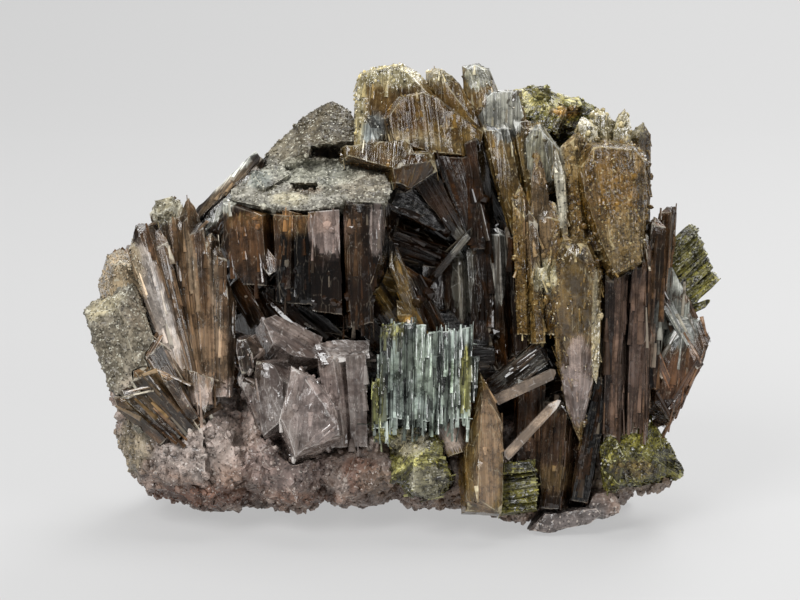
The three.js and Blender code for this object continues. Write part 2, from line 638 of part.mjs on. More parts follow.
const epidoteCrown = [
  ...blocks([
    {
      corners: [
        [22, 97.6, -15], [27.4, 99, -16], [31, 99, -17], [34, 98, -17], [39.6, 95.6, -17],
        [43.2, 94.6, -17],
        [45, 92.4, -16], [41, 89, -9], [34.6, 91.6, -8], [28, 92.4, -9], [24, 93.6, -10], [26, 86, -14],
        [42, 84, -14], [30, 94, -26], [40, 90, -26],
      ],
    },
  ]),
  ...blades(
    row({
      from: [28, 88.4, -9], to: [35, 88.4, -8.4], rise: [2.4, 6.4, -2.4],
      count: 4, wide: 2.1, thick: 3.4, uneven: 0.2, seed: 74,
    }),
  ),
  ...lumps([
    { at: [31.4, 97.4, -14], half: [3, 2.4, 3], seed: 73, corners: 8 },
    { at: [38.6, 94.6, -12], half: [3.4, 2.6, 3.4], seed: 76, corners: 8 },
  ]),
];
const epidoteFlank = [
  ...blades([
    ...row({
      from: [57.6, 62, -8], to: [62.6, 48.8, -9], rise: [7.6, 7, -2],
      count: 5, wide: 3.6, thick: 8, crest: 0.1, uneven: 0.1, seed: 81,
    }),
    { foot: [62, 48.2, -8], tip: [69.2, 51.4, -8], wide: 1.9, thick: 3, crest: 0.2 },
  ]),
  ...lumps([{ at: [62, 57, -12], half: [6, 9, 6], seed: 82, corners: 12 }]),
];
const epidoteCorner = blocks([
  {
    corners: [
      [45, 19, 6], [47.6, 24, 1], [54.6, 24.6, -1], [57.4, 22.2, -3], [62, 16, -5], [62.8, 12.2, -5],
      [55, 12, 4], [47, 11, 6], [50, 18, 8], [56, 17, 5], [50, 24, -10], [60, 18, -12], [54, 10.6, -10],
      [46, 12, -8],
    ],
  },
  { corners: [[45, 14, 7], [48, 20, 8], [50, 16, 9], [49, 10, 8], [45, 20, 2], [46, 9, 2], [51, 15, 2]] },
]);

// The back, where a second spray and more epidote grow on the same rock
const backFan = blades([
  { foot: [-10, 40, -40], tip: [-30, 66, -53], wide: 9, thick: 6, facing: 160 },
  { foot: [-5, 42, -40], tip: [-19, 74, -54], wide: 9, thick: 6, facing: 200, crest: 0.1, slant: -0.3 },
  { foot: [0, 42, -40], tip: [-7, 77, -55], wide: 9, thick: 6, facing: 170, crest: 0.1 },
  { foot: [5, 42, -40], tip: [6, 75, -56], wide: 9, thick: 6, facing: 205, slant: -0.4 },
  { foot: [9, 40, -40], tip: [18, 70, -54], wide: 8, thick: 6, facing: 165, crest: 0.14 },
  { foot: [12, 38, -40], tip: [28, 61, -52], wide: 8, thick: 6, facing: 195, crest: 0.14 },
  { foot: [0, 40, -42], tip: [-12, 60, -59], wide: 7, thick: 5, facing: 180, crest: 0.14 },
  { foot: [4, 40, -42], tip: [12, 58, -59], wide: 7, thick: 5, facing: 190, crest: 0.14 },
]);
const backRightColumns = blades([
  { foot: [34, 28, -32], tip: [40, 64, -40], wide: 8, thick: 7, facing: 170, crest: 0.1 },
  { foot: [38, 28, -30], tip: [48, 58, -36], wide: 8, thick: 7, facing: 200, slant: -0.3 },
  { foot: [42, 28, -26], tip: [56, 50, -30], wide: 7, thick: 7, facing: 230 },
]);
const backLeftColumns = blades([
  { foot: [-28, 28, -34], tip: [-40, 56, -42], wide: 9, thick: 7, facing: 165 },
  { foot: [-24, 28, -36], tip: [-30, 52, -47], wide: 8, thick: 7, facing: 195, crest: 0.16 },
  { foot: [-32, 26, -30], tip: [-50, 46, -34], wide: 8, thick: 7, facing: 140, crest: 0.16 },
]);
const backEpidote = lumps([{ at: [25, 35, -49], half: [9, 7, 7], seed: 101 }]);

// The rock that carries them all
const matrixRock = [
  ...blocks([
    {
      corners: [
        [-63.6, 31, -3], [-62.8, 25, -1], [-61.4, 19.6, -1], [-59.6, 14.6, -2],
        [-57.6, 11.2, -3], [-50, 8, -3],
        [-44, 5.6, -2], [-56, 27, 6], [-51, 16, 9], [-44, 27, 8], [-44, 12, 10], [-60, 34, -16],
        [-62, 22, -16], [-54, 9, -22], [-40, 30, -20], [-50, 14, -34],
      ],
    },
  ]),
  ...lumps([
    { at: [-41, 17.4, -10], half: [13, 15, 20], seed: 122, floor: 5.4 },
    { at: [-26, 17, -8], half: [15, 15, 20], seed: 123, floor: 5.8 },
    { at: [-9, 16, -10], half: [13, 13, 21], seed: 124, floor: 6.8 },
    { at: [8, 14, -14], half: [13, 13, 23], seed: 125, floor: 6 },
    { at: [25, 12, -14], half: [14, 14, 21], seed: 126, floor: 2 },
    { at: [42, 15, -17], half: [12, 14, 18], seed: 127, floor: 4 },
    { at: [54, 14.4, -8], half: [8, 6.6, 10], seed: 128, corners: 12, floor: 9.6 },
    { at: [0, 26, -38], half: [44, 26, 18], seed: 130, corners: 18 },
    { at: [-12, 58, -33], half: [32, 26, 14], seed: 131 },
    { at: [28, 58, -34], half: [26, 30, 13], seed: 132 },
  ]),
];

// The pieces, from the front to the back. Crystals that overlap are one solid, and each piece makes room for
// every piece before it. A compact piece takes up its whole hull, and a roomy one leaves every hull free.
const PIECES = {
  fin_crystal: { finish: "honey", forms: finCrystal, compact: true },
  upper_lath: { finish: "lilac", forms: upperLath },
  lower_lath: { finish: "lilac", forms: lowerLath },
  front_slab: { finish: "rock", forms: frontSlab },
  epidote_fence: { finish: "steel", forms: epidoteFence, compact: true },
  epidote_shelf: { finish: "epidote", forms: epidoteShelf, compact: true },
  epidote_side_bundle: { finish: "epidote", forms: epidoteSideBundle, compact: true },
  epidote_crown: { finish: "epidote", forms: epidoteCrown, compact: true },
  epidote_flank: { finish: "epidote", forms: epidoteFlank, compact: true },
  epidote_corner: { finish: "epidote", forms: epidoteCorner },
  right_crown: { finish: "tan", forms: [...rightBlock, ...whiteEdge, ...centreSpires, ...wedgeCrystal] },
  right_columns: { finish: "brown", forms: [...rightColumns, ...edgePlates] },
  low_prisms: { finish: "dark", forms: lowPrisms },
  left_spray: { finish: "brown", forms: [...leftFan, ...lowLeftSpray, ...paleCornerCrystal] },
  corner_block: { finish: "crust", forms: cornerBlock },
  lilac_crystals: { finish: "lilac", forms: lilacCrystals, compact: true },
  grey_crust: { finish: "crust", forms: [...plateauCrust, ...greyHump], pits: crustPits },
  plateau_crystals: { finish: "brown", forms: [...slantedBlades, ...plateauCrystals] },
  top_crystals: { finish: "honey", forms: [...topBlock, ...topPoints, ...silverCrystals, ...armCrystal] },
  hollow_crystals: { finish: "dark", forms: hollowCrystals },
  back_fan: { finish: "brown", forms: backFan },
  back_right_columns: { finish: "dark", forms: backRightColumns },
  back_left_columns: { finish: "dark", forms: backLeftColumns },
  back_epidote: { finish: "epidote", forms: backEpidote },
  matrix: { finish: "rock", forms: matrixRock, roomy: true },
};

// Joining, cutting and placing
const leanTurn = THREE.MathUtils.degToRad(LEAN);

// The room under the specimen's flat cut, as the leaning display face has it.
function roomBelow() {
  const room = new THREE.BoxGeometry(ROOM_BELOW, ROOM_BELOW, ROOM_BELOW);
  room.translate(0, 0, -ROOM_BELOW / 2);
  room.rotateX(leanTurn);
  return solidFrom(room);
}

const shapesOf = (forms, grow) => joined(forms.map(({ form, spec }) => form(spec, grow)));
const larger = (a, b) => (b.volume() > a.volume() ? b : a);
const largestOf = (solid) => solid.decompose().reduce(larger);

function boxesMeet(a, b) {
  return a.min.every((low, k) => low <= b.max[k] && b.min[k] <= a.max[k]);
}

// A solid as a mesh whose own origin is the middle of its box.
function meshOf(name, solid, finish) {
  const { numProp, vertProperties, triVerts } = solid.getMesh();
  const positions = new Float32Array((vertProperties.length / numProp) * 3);
  for (let i = 0; i < positions.length / 3; i += 1) {
    positions.set(vertProperties.subarray(i * numProp, i * numProp + 3), i * 3);
  }
  const geometry = new THREE.BufferGeometry();
  geometry.setAttribute("position", new THREE.BufferAttribute(positions, 3));
  geometry.setIndex(new THREE.BufferAttribute(new Uint32Array(triVerts), 1));
  geometry.computeBoundingBox();
  const middle = geometry.boundingBox.getCenter(new THREE.Vector3());
  geometry.translate(-middle.x, -middle.y, -middle.z);
  geometry.computeVertexNormals();
  const material = new THREE.MeshStandardMaterial({ ...FINISHES[finish], metalness: 0 });
  const mesh = new THREE.Mesh(geometry, material);
  mesh.name = name;
  mesh.position.copy(middle);
  return mesh;
}

const specimen = new THREE.Group();
const displayFace = new THREE.Group();
displayFace.rotation.x = -leanTurn;
displayFace.position.y = -FOOT_SETBACK;
specimen.add(displayFace);

const below = roomBelow();
const sockets = [];
for (const [name, piece] of Object.entries(PIECES)) {
  const { finish, forms, pits = [], compact = false, roomy = false } = piece;
  let solid = shapesOf(forms, 0).subtract(below);
  if (pits.length) solid = solid.subtract(shapesOf(pits, 0));
  for (const { close, wide } of sockets) {
    const socket = roomy ? wide : close;
    if (boxesMeet(solid.boundingBox(), socket.boundingBox())) solid = solid.subtract(socket);
  }
  displayFace.add(meshOf(name, largestOf(solid), finish));
  const grown = shapesOf(forms, GAP);
  const wide = hullAround(grown);
  sockets.push({ close: compact ? wide : grown, wide });
}

export default specimen;
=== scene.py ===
"""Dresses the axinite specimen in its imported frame.

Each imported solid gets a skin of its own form, cut into strips along the grain of every crystal face. The strips
carry the striations, the edges are chipped, and the crusts and the rock are made rough. Blades, grains and broken
lumps then grow on the skins.
"""

from __future__ import annotations

import logging
import math
from dataclasses import dataclass, replace
from enum import Enum

import bmesh
import bpy
import numpy as np
from bmesh.types import BMesh, BMFace
from bpy.types import ID, Material, Mesh, Node, NodeSocket, NodeTree, Object
from bpy.types import bpy_prop_collection as Items
from mathutils import Vector
from mathutils.bvhtree import BVHTree
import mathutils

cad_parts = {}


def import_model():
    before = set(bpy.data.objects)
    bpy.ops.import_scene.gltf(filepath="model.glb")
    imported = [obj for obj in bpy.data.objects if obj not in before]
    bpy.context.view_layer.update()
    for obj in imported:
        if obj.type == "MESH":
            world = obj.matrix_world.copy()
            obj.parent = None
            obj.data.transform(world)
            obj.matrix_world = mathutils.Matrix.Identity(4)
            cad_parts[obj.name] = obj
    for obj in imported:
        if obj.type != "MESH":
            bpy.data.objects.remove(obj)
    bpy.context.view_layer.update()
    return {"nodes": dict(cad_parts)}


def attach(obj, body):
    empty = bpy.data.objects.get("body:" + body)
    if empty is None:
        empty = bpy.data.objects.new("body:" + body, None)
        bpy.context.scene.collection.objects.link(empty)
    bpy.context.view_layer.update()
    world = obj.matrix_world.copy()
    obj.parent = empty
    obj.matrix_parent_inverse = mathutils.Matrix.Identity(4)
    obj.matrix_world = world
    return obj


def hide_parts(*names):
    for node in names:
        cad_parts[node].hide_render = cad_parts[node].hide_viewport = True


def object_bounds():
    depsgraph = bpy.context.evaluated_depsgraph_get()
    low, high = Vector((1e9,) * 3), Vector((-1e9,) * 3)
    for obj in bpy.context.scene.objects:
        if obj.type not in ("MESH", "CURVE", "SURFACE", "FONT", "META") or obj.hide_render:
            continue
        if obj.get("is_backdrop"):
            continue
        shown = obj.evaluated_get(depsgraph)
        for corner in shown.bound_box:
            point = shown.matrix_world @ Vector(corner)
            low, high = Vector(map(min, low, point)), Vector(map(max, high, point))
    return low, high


log = logging.getLogger("specimen")

MM = 0.001
BODY = "root"
Array = np.ndarray
Range = tuple[float, float]
Triple = tuple[float, float, float]


def linear(colour: str) -> tuple[float, ...]:
    """Turns a colour such as "#8a7d75" into linear red, green and blue, and an alpha of 1."""
    values = [int(colour[i : i + 2], 16) / 255 for i in (1, 3, 5)]
    return (*(v / 12.92 if v <= 0.04045 else ((v + 0.055) / 1.055) ** 2.4 for v in values), 1.0)


def put(name: str, data: ID) -> Object:
    """Puts a mesh, a light or a camera in the scene.

    Args:
        name: the new object's name.
        data: the mesh, light or camera.

    Returns:
        The new object.
    """
    made = bpy.data.objects.new(name, data)
    bpy.context.scene.collection.objects.link(made)
    return made


def read(items: Items, name: str, width: int = 1, kind: type = float) -> Array:
    """Reads one property of many items.

    Args:
        items: the items.
        name: the property.
        width: how many values an item has.
        kind: the type of a value.

    Returns:
        The values, one item a row.
    """
    values = np.zeros(len(items) * width, kind)
    items.foreach_get(name, values)
    return values.reshape(-1, width) if width > 1 else values


def store(mesh: Mesh, name: str, kind: str, domain: str, values: Array) -> None:
    """Stores a new attribute: FLOAT, FLOAT_VECTOR or FLOAT_COLOR, on each POINT or FACE."""
    field = {"FLOAT": "value", "FLOAT_VECTOR": "vector", "FLOAT_COLOR": "color"}[kind]
    mesh.attributes.new(name, kind, domain).data.foreach_set(field, values.ravel())


@dataclass(frozen=True)
class DisplayFace:
    """The leaning face that the specimen shows, and where it is looked at from, in millimetres."""

    lean: float = math.radians(12.0)
    setback: float = 29.0
    view_distance: float = 592.6
    view_height: float = 51.6
    lens: float = 120.0
    far_end: float = 20000.0

    @property
    def up(self) -> Array:
        """The direction up the face."""
        return np.array([0.0, math.sin(self.lean), math.cos(self.lean)])

    @property
    def out(self) -> Array:
        """The direction out of the face, towards the viewpoint."""
        return np.array([0.0, -math.cos(self.lean), math.sin(self.lean)])

    def seen(self, points: Array) -> Array:
        """Gives the places of points as the viewpoint lines them up.

        Args:
            points: the places in metres.

        Returns:
            Rows of across, up and out in millimetres.
        """
        place = points / MM + np.array([0.0, self.setback, 0.0])
        out = place @ self.out
        spread = 1 - out / self.view_distance
        up = self.view_height + (place @ self.up - self.view_height) / spread
        return np.stack([place[:, 0] / spread, up, out], 1)

    def camera(self) -> None:
        """Places the camera at the viewpoint."""
        data = bpy.data.cameras.new("viewpoint")
        data.lens = self.lens
        data.clip_end = self.far_end * MM
        camera = put("viewpoint", data)
        target = Vector(self.up * self.view_height) - Vector((0.0, self.setback, 0.0))
        camera.location = (target + Vector(self.out) * self.view_distance) * MM
        camera.rotation_euler = (-Vector(self.out)).to_track_quat("-Z", "Y").to_euler()
        bpy.context.scene.camera = camera


FACE = DisplayFace()


@dataclass(frozen=True)
class Noise:
    """Repeatable noise from -1 to 1 over places in space, which are given three numbers a row."""

    seed: int

    def lattice(self, cells: Array) -> Array:
        """Gives each whole-number cell its own value.

        Args:
            cells: the cells.

        Returns:
            One value from -1 to 1 a row.
        """
        x, y, z = (cells[..., k].astype(np.int64) for k in range(3))
        mixed = (x * 73856093) ^ (y * 19349663) ^ (z * 83492791) ^ (self.seed * 40503)
        for shift, factor in ((13, 1274126177), (15, 48271)):
            mixed = ((mixed ^ (mixed >> shift)) * factor) & 0x7FFFFFFF
        return (mixed & 0xFFFF) / 0x7FFF - 1

    def smooth(self, points: Array, size: float) -> Array:
        """Smooth noise with features of one size.

        Args:
            points: the places.
            size: the size of a feature, in the places' own unit.

        Returns:
            One value a row.
        """
        scaled = points / size
        cell = np.floor(scaled)
        part = scaled - cell
        part = part * part * (3 - 2 * part)
        total = np.zeros(len(points))
        for corner in np.ndindex(2, 2, 2):
            share = np.prod(np.where(np.array(corner) == 1, part, 1 - part), axis=1)
            total += share * self.lattice(cell + corner)
        return total

    def fractal(self, points: Array, size: float, octaves: int) -> Array:
        """Noise with features of several sizes, from one size down, each half of the one before it."""
        return sum(self.smooth(points, size / 2**k) / 2**k for k in range(octaves)) / 1.6

    def cells(self, points: Array, size: float) -> Array:
        """Steps of one height over each grain of a pack of grains.

        Args:
            points: the places.
            size: the size of a grain.

        Returns:
            The height of the grain that each place is in.
        """
        scaled = points / size
        home = np.floor(scaled)
        nearest = np.full(len(points), np.inf)
        height = np.zeros(len(points))
        for step in np.ndindex(3, 3, 3):
            cell = home + np.array(step) - 1
            jitter = [Noise(self.seed + k).lattice(cell) * 0.5 for k in (1, 2, 3)]
            away = np.linalg.norm(cell + 0.5 + np.stack(jitter, 1) - scaled, axis=1)
            height = np.where(away < nearest, self.lattice(cell), height)
            nearest = np.minimum(away, nearest)
        return height


class Effect(Enum):
    """The shader node groups that the finishes share, with their names."""

    CLOUDS = "clouding"
    STRIAE = "striae"
    FACETS = "facets"


class Nodes:
    """Places and joins the nodes of one tree."""

    def __init__(self, tree: NodeTree) -> None:
        """Takes the tree that the nodes go in."""
        self.tree = tree
        self.inside: Items | None = None

    @classmethod
    def group(cls, name: str, takes: dict, gives: dict, kind: str = "ShaderNodeTree") -> Nodes:
        """Starts a node group.

        Args:
            name: the group's name.
            takes: its inputs: the value of a Float, or else the socket's kind.
            gives: its outputs and their kinds.
            kind: the type of the tree.

        Returns:
            The group's nodes, with its inputs as inside.
        """
        nodes = cls(bpy.data.node_groups.new(name, kind))
        for side, sockets in (("INPUT", takes), ("OUTPUT", gives)):
            for label, value in sockets.items():
                form = value if isinstance(value, str) else "Float"
                made = nodes.tree.interface.new_socket(label, in_out=side, socket_type=f"NodeSocket{form}")
                if not isinstance(value, str):
                    made.default_value = value
        nodes.inside = nodes.add("NodeGroupInput").outputs
        return nodes

    def add(self, kind: str, values: dict | None = None, **settings: object) -> Node:
        """Adds a node.

        Args:
            kind: the node's type.
            values: what fill() gives its inputs.
            settings: its properties.

        Returns:
            The new node.
        """
        node = self.tree.nodes.new(kind)
        for name, setting in settings.items():
            setattr(node, name, setting)
        self.fill(node, values or {})
        return node

    def fill(self, node: Node, values: dict) -> None:
        """Fills the inputs of a node.

        Args:
            node: the node.
            values: what its inputs hold, or the nodes or outputs that join them.
        """
        for name, value in values.items():
            value = value.outputs[0] if isinstance(value, Node) else value
            if isinstance(value, NodeSocket):
                self.tree.links.new(value, node.inputs[name])
            else:
                node.inputs[name].default_value = value

    def math(self, operation: str, first: object, second: object) -> NodeSocket:
        """Adds a Math node and gives its output."""
        return self.add("ShaderNodeMath", {0: first, 1: second}, operation=operation).outputs[0]

    def times(self, first: object, second: object) -> NodeSocket:
        """Multiplies two values."""
        return self.math("MULTIPLY", first, second)

    def ramp(self, value: object, low: object, high: object, start: float = 0.0, end: float = 1.0) -> NodeSocket:
        """Adds a Map Range node from low..high to start..end, held at its ends, and gives its output."""
        values = {0: value, 1: low, 2: high, 3: start, 4: end}
        return self.add("ShaderNodeMapRange", values, interpolation_type="SMOOTHSTEP").outputs[0]

    def mix(self, share: object, first: object, second: object, blend: str = "MIX") -> NodeSocket:
        """Adds a colour Mix node and gives its output."""
        values = {0: share, 6: first, 7: second}
        return self.add("ShaderNodeMix", values, data_type="RGBA", blend_type=blend).outputs[2]

    def toned(self, colour: object, tone: object) -> NodeSocket:
        """Multiplies a colour by a tone."""
        return self.mix(1.0, colour, tone, "MULTIPLY")

    def noise(self, place: object, scale: object, detail: float, roughness: float) -> NodeSocket:
        """Adds a Noise Texture and gives its value."""
        values = {"Vector": place, "Scale": scale, "Detail": detail, "Roughness": roughness}
        return self.add("ShaderNodeTexNoise", values).outputs[0]

    def effect(self, effect: Effect, values: dict) -> Items:
        """Adds a shared group with its values and gives its outputs."""
        return self.add("ShaderNodeGroup", values, node_tree=bpy.data.node_groups[effect.value]).outputs


class Effects:
    """Builds the shared shader node groups."""

    @classmethod
    def build(cls) -> None:
        """Builds every group once."""
        for make in (cls._clouds, cls._striae, cls._facets):
            make()

    @staticmethod
    def _clouds() -> None:
        """Builds the clouding between two colours: features in millimetres, and how soft they are."""
        takes = {"Vector": "Vector", "Size": 6.0, "Soft": 0.12, "Dark": "Color", "Light": "Color"}
        nodes = Nodes.group(Effect.CLOUDS.value, takes, {"Color": "Color", "Mask": "Float"})
        inside = nodes.inside
        noise = nodes.noise(inside["Vector"], nodes.math("DIVIDE", 1 / MM, inside["Size"]), 7.0, 0.74)
        ends = (nodes.math(way, 0.5, inside["Soft"]) for way in ("SUBTRACT", "ADD"))
        mask = nodes.ramp(noise, *ends)
        colour = nodes.mix(mask, inside["Dark"], inside["Light"])
        nodes.add("NodeGroupOutput", {"Color": colour, "Mask": mask})

    @staticmethod
    def _striae() -> None:
        """Builds what follows a crystal face's grain: a height, thin pale lines, broad streaks and cracks."""
        gives = dict.fromkeys(("Height", "Lines", "Streaks", "Cracks"), "Float")
        nodes = Nodes.group(Effect.STRIAE.value, {"UV": "Vector", "Across": 1.6}, gives)
        along, across = nodes.add("ShaderNodeSeparateXYZ", {0: nodes.inside["UV"]}).outputs[:2]
        heights = []
        for finer, drawn in ((1.0, 0.022), (2.7, 0.05)):
            aside = nodes.times(across, nodes.times(nodes.inside["Across"], finer))
            place = nodes.add("ShaderNodeCombineXYZ", {0: nodes.times(along, drawn), 1: aside, 2: finer})
            heights.append(nodes.noise(place, 1.0, 3.0, 0.6))
        broad, fine = heights
        bent = nodes.math("ADD", nodes.times(across, 0.5), nodes.times(broad, 0.5))
        shards = nodes.add("ShaderNodeCombineXYZ", {0: nodes.times(along, 0.16), 1: bent, 2: 0.0})
        cells = nodes.add("ShaderNodeTexVoronoi", {"Vector": shards, "Scale": 1.0}, feature="DISTANCE_TO_EDGE")
        thin = nodes.ramp(cells.outputs["Distance"], 0.0, 0.035, 1.0, 0.0)
        given = {
            "Height": nodes.math("ADD", broad, nodes.times(fine, 0.5)),
            "Lines": nodes.ramp(fine, 0.6, 0.68),
            "Streaks": nodes.ramp(broad, 0.38, 0.62),
            "Cracks": nodes.times(thin, nodes.ramp(fine, 0.45, 0.6)),
        }
        nodes.add("NodeGroupOutput", given)

    @staticmethod
    def _facets() -> None:
        """Builds the small facets of a sugary surface, each turned its own way: a normal and a value a facet."""
        takes = {"Vector": "Vector", "Size": 0.5, "Turn": 0.4}
        nodes = Nodes.group(Effect.FACETS.value, takes, {"Normal": "Vector", "Value": "Float"})
        inside = nodes.inside
        scale = nodes.math("DIVIDE", 1 / MM, inside["Size"])
        grains = nodes.add("ShaderNodeTexVoronoi", {"Vector": inside["Vector"], "Scale": scale}).outputs["Color"]
        plain = nodes.add("ShaderNodeNewGeometry").outputs["Normal"]
        way = nodes.add("ShaderNodeVectorMath", {0: grains, 1: (0.5, 0.5, 0.5)}, operation="SUBTRACT")
        way = nodes.add("ShaderNodeVectorMath", {0: way, "Scale": inside["Turn"]}, operation="SCALE")
        way = nodes.add("ShaderNodeVectorMath", {0: plain, 1: way}, operation="ADD")
        normal = nodes.add("ShaderNodeVectorMath", {0: way}, operation="NORMALIZE")
        value = nodes.add("ShaderNodeSeparateColor", {0: grains})
        nodes.add("NodeGroupOutput", {"Normal": normal, "Value": value})


@dataclass(frozen=True)
class Finish:
    """One finish: its clouded colours, how it shines and how light goes through it.

    Sizes are in millimetres, and absorbs is how much a metre of the crystal takes out.
    """

    name: str
    dark: str
    light: str
    rim: str
    warm: str = "#8a5a22"
    warmth: float = 0.0
    rough: float = 0.3
    through: float = 0.0
    absorbs: float = 0.0
    glow: str = "#c8a070"
    cloud: float = 7.0
    soft: float = 0.12
    striae: float = 0.5
    across: float = 1.6
    cracks: float = 0.3
    facet_turn: float = 0.08
    facet_size: float = 0.6
    spread: float = 0.5
    white: float = 0.0
    black: float = 0.0
    index: float = 1.68
    shine: float = 0.5

    def opaque(self) -> Finish:
        """Gives the same finish for small growths, without light through it."""
        return replace(self, name=f"{self.name}_growth", through=0.0, absorbs=0.0, spread=self.spread * 0.65)

    def material(self) -> Material:
        """Gives the finish's material, built on first use.

        Returns:
            The material.
        """
        name = f"{self.name}_finish"
        if name in bpy.data.materials:
            return bpy.data.materials[name]
        material = bpy.data.materials.new(name)
        material.use_nodes = True
        tree = material.node_tree
        nodes = Nodes(tree)
        place = nodes.add("ShaderNodeTexCoord").outputs["Object"]
        grain = nodes.add("ShaderNodeUVMap", uv_map="grain_map")
        facets = nodes.effect(Effect.FACETS, {"Vector": place, "Size": self.facet_size, "Turn": self.facet_turn})
        striae = nodes.effect(Effect.STRIAE, {"UV": grain, "Across": self.across})
        colour, mask = self._body_colour(nodes, place)
        rim = nodes.add("ShaderNodeAttribute", attribute_name="rim").outputs["Fac"]
        edge = nodes.times(nodes.ramp(rim, 0.75, 1.0), nodes.ramp(mask, 0.1, 0.9, 0.1, 0.75))
        rough = nodes.math("ADD", self.rough * 0.7, nodes.times(mask, self.rough * 0.7))
        relief = {"Height": striae["Height"], "Normal": facets["Normal"]}
        look = {
            "Base Color": nodes.mix(edge, self._grain_colour(nodes, colour, striae, facets), linear(self.rim)),
            "Roughness": nodes.math("ADD", rough, nodes.times(edge, 0.25)),
            "Normal": nodes.add("ShaderNodeBump", {**relief, "Strength": self.striae, "Distance": 0.3 * MM}),
            "IOR": self.index,
            "Specular IOR Level": self.shine,
            "Transmission Weight": self.through,
        }
        nodes.fill(tree.nodes["Principled BSDF"], look)
        if self.absorbs:
            absorbs = {"Color": linear(self.glow), "Density": self.absorbs}
            volume = nodes.add("ShaderNodeVolumeAbsorption", absorbs)
            nodes.fill(tree.nodes["Material Output"], {"Volume": volume})
        return material

    def _body_colour(self, nodes: Nodes, place: NodeSocket) -> tuple[NodeSocket, NodeSocket]:
        """Builds the clouded colour with its warm areas, its tinted patches and each face's own tone. Some of the
        patches are painted shade and painted reflections.

        Args:
            nodes: the material's nodes.
            place: the place on the object.

        Returns:
            The colour, and the mask of the clouding.
        """
        ends = {"Dark": linear(self.dark), "Light": linear(self.light)}
        clouds = nodes.effect(Effect.CLOUDS, {"Vector": place, "Size": self.cloud, "Soft": self.soft, **ends})
        colour, mask = clouds["Color"], clouds["Mask"]
        tone = nodes.ramp(mask, 0.0, 1.0, 0.55, 1.3)
        if self.warmth:
            wide = nodes.effect(Effect.CLOUDS, {"Vector": place, "Size": self.cloud * 2.3, "Soft": 0.08})
            share = nodes.times(wide["Mask"], self.warmth)
            colour = nodes.mix(share, colour, nodes.toned(linear(self.warm), tone))
        # The tint attribute holds the patch colours, and also the painted shade and painted reflections of a few
        # patches.
        tint = nodes.add("ShaderNodeAttribute", attribute_name="tint").outputs
        colour = nodes.mix(tint["Alpha"], colour, nodes.toned(tint["Color"], tone))
        facet = nodes.add("ShaderNodeAttribute", attribute_name="facet").outputs["Fac"]
        return nodes.toned(colour, nodes.ramp(facet, 0.0, 1.0, 1 - self.spread, 1 + self.spread * 0.8)), mask

    def _grain_colour(self, nodes: Nodes, colour: NodeSocket, striae: Items, facets: Items) -> NodeSocket:
        """Builds the streaks, lines, cracks and grains over a colour.

        Args:
            nodes: the material's nodes.
            colour: the colour under them.
            striae: the outputs of the striae group.
            facets: the outputs of the facets group.

        Returns:
            The colour with them.
        """
        for name, low, high in (("Streaks", -0.6, 0.5), ("Lines", 0.0, 1.2)):
            tone = nodes.ramp(striae[name], 0.0, 1.0, 1 + low * self.striae, 1 + high * self.striae)
            colour = nodes.toned(colour, tone)
        pale, deep = linear(self.rim), (0.014, 0.01, 0.007, 1)
        colour = nodes.mix(nodes.times(striae["Cracks"], self.cracks), colour, pale)
        for test, share, limit, strength, grain in (
            ("GREATER_THAN", self.white, 1 - self.white, 0.7, pale),
            ("LESS_THAN", self.black, self.black, 0.75, deep),
        ):
            if share:
                chosen = nodes.math(test, facets["Value"], limit)
                colour = nodes.mix(nodes.times(chosen, strength), colour, grain)
        return colour


BROWN = Finish(
    "brown_axinite", "#2a1a0d", "#735741", "#d8d0bc", warm="#644722", warmth=0.45, rough=0.13, through=0.45,
    absorbs=160, striae=0.55, cloud=5.0, spread=0.6, shine=0.4,
)
DARK = Finish(
    "dark_axinite", "#0a0502", "#22140a", "#8f8474", warm="#3a230d", warmth=0.5, rough=0.1, through=0.4,
    absorbs=300, spread=0.9, glow="#b08a60", cracks=0.45, cloud=6.0, striae=0.5, shine=0.35,
)
HONEY = Finish(
    "honey_axinite", "#3b2a10", "#8c7442", "#e0d6b4", warm="#735624", warmth=0.6, rough=0.14, through=0.5,
    absorbs=120, glow="#dcb47c", spread=0.45, cloud=4.0, cracks=0.5, striae=0.35, shine=0.45,
)
TAN = Finish(
    "tan_axinite", "#33220c", "#846a3a", "#c6b586", warm="#674c20", warmth=0.55, rough=0.24, through=0.3,
    absorbs=160, facet_turn=0.45, facet_size=0.34, cloud=2.6, white=0.03, black=0.08, spread=0.4, across=2.4,
    striae=0.4, shine=0.3,
)
# The lilac finish is partly the crystals' own pale lilac and partly a painted sheen: the lavender reflection of the
# pale surroundings in flat faces, painted into the colour.
LILAC_AND_SHEEN = Finish(
    "lilac_axinite", "#5d514c", "#8d837d", "#cfc9c3", rough=0.22, through=0.15, spread=0.4, facet_turn=0.1,
    cloud=6.0, striae=0.3, cracks=0.6, warm="#5f4a3c", warmth=0.4,
)
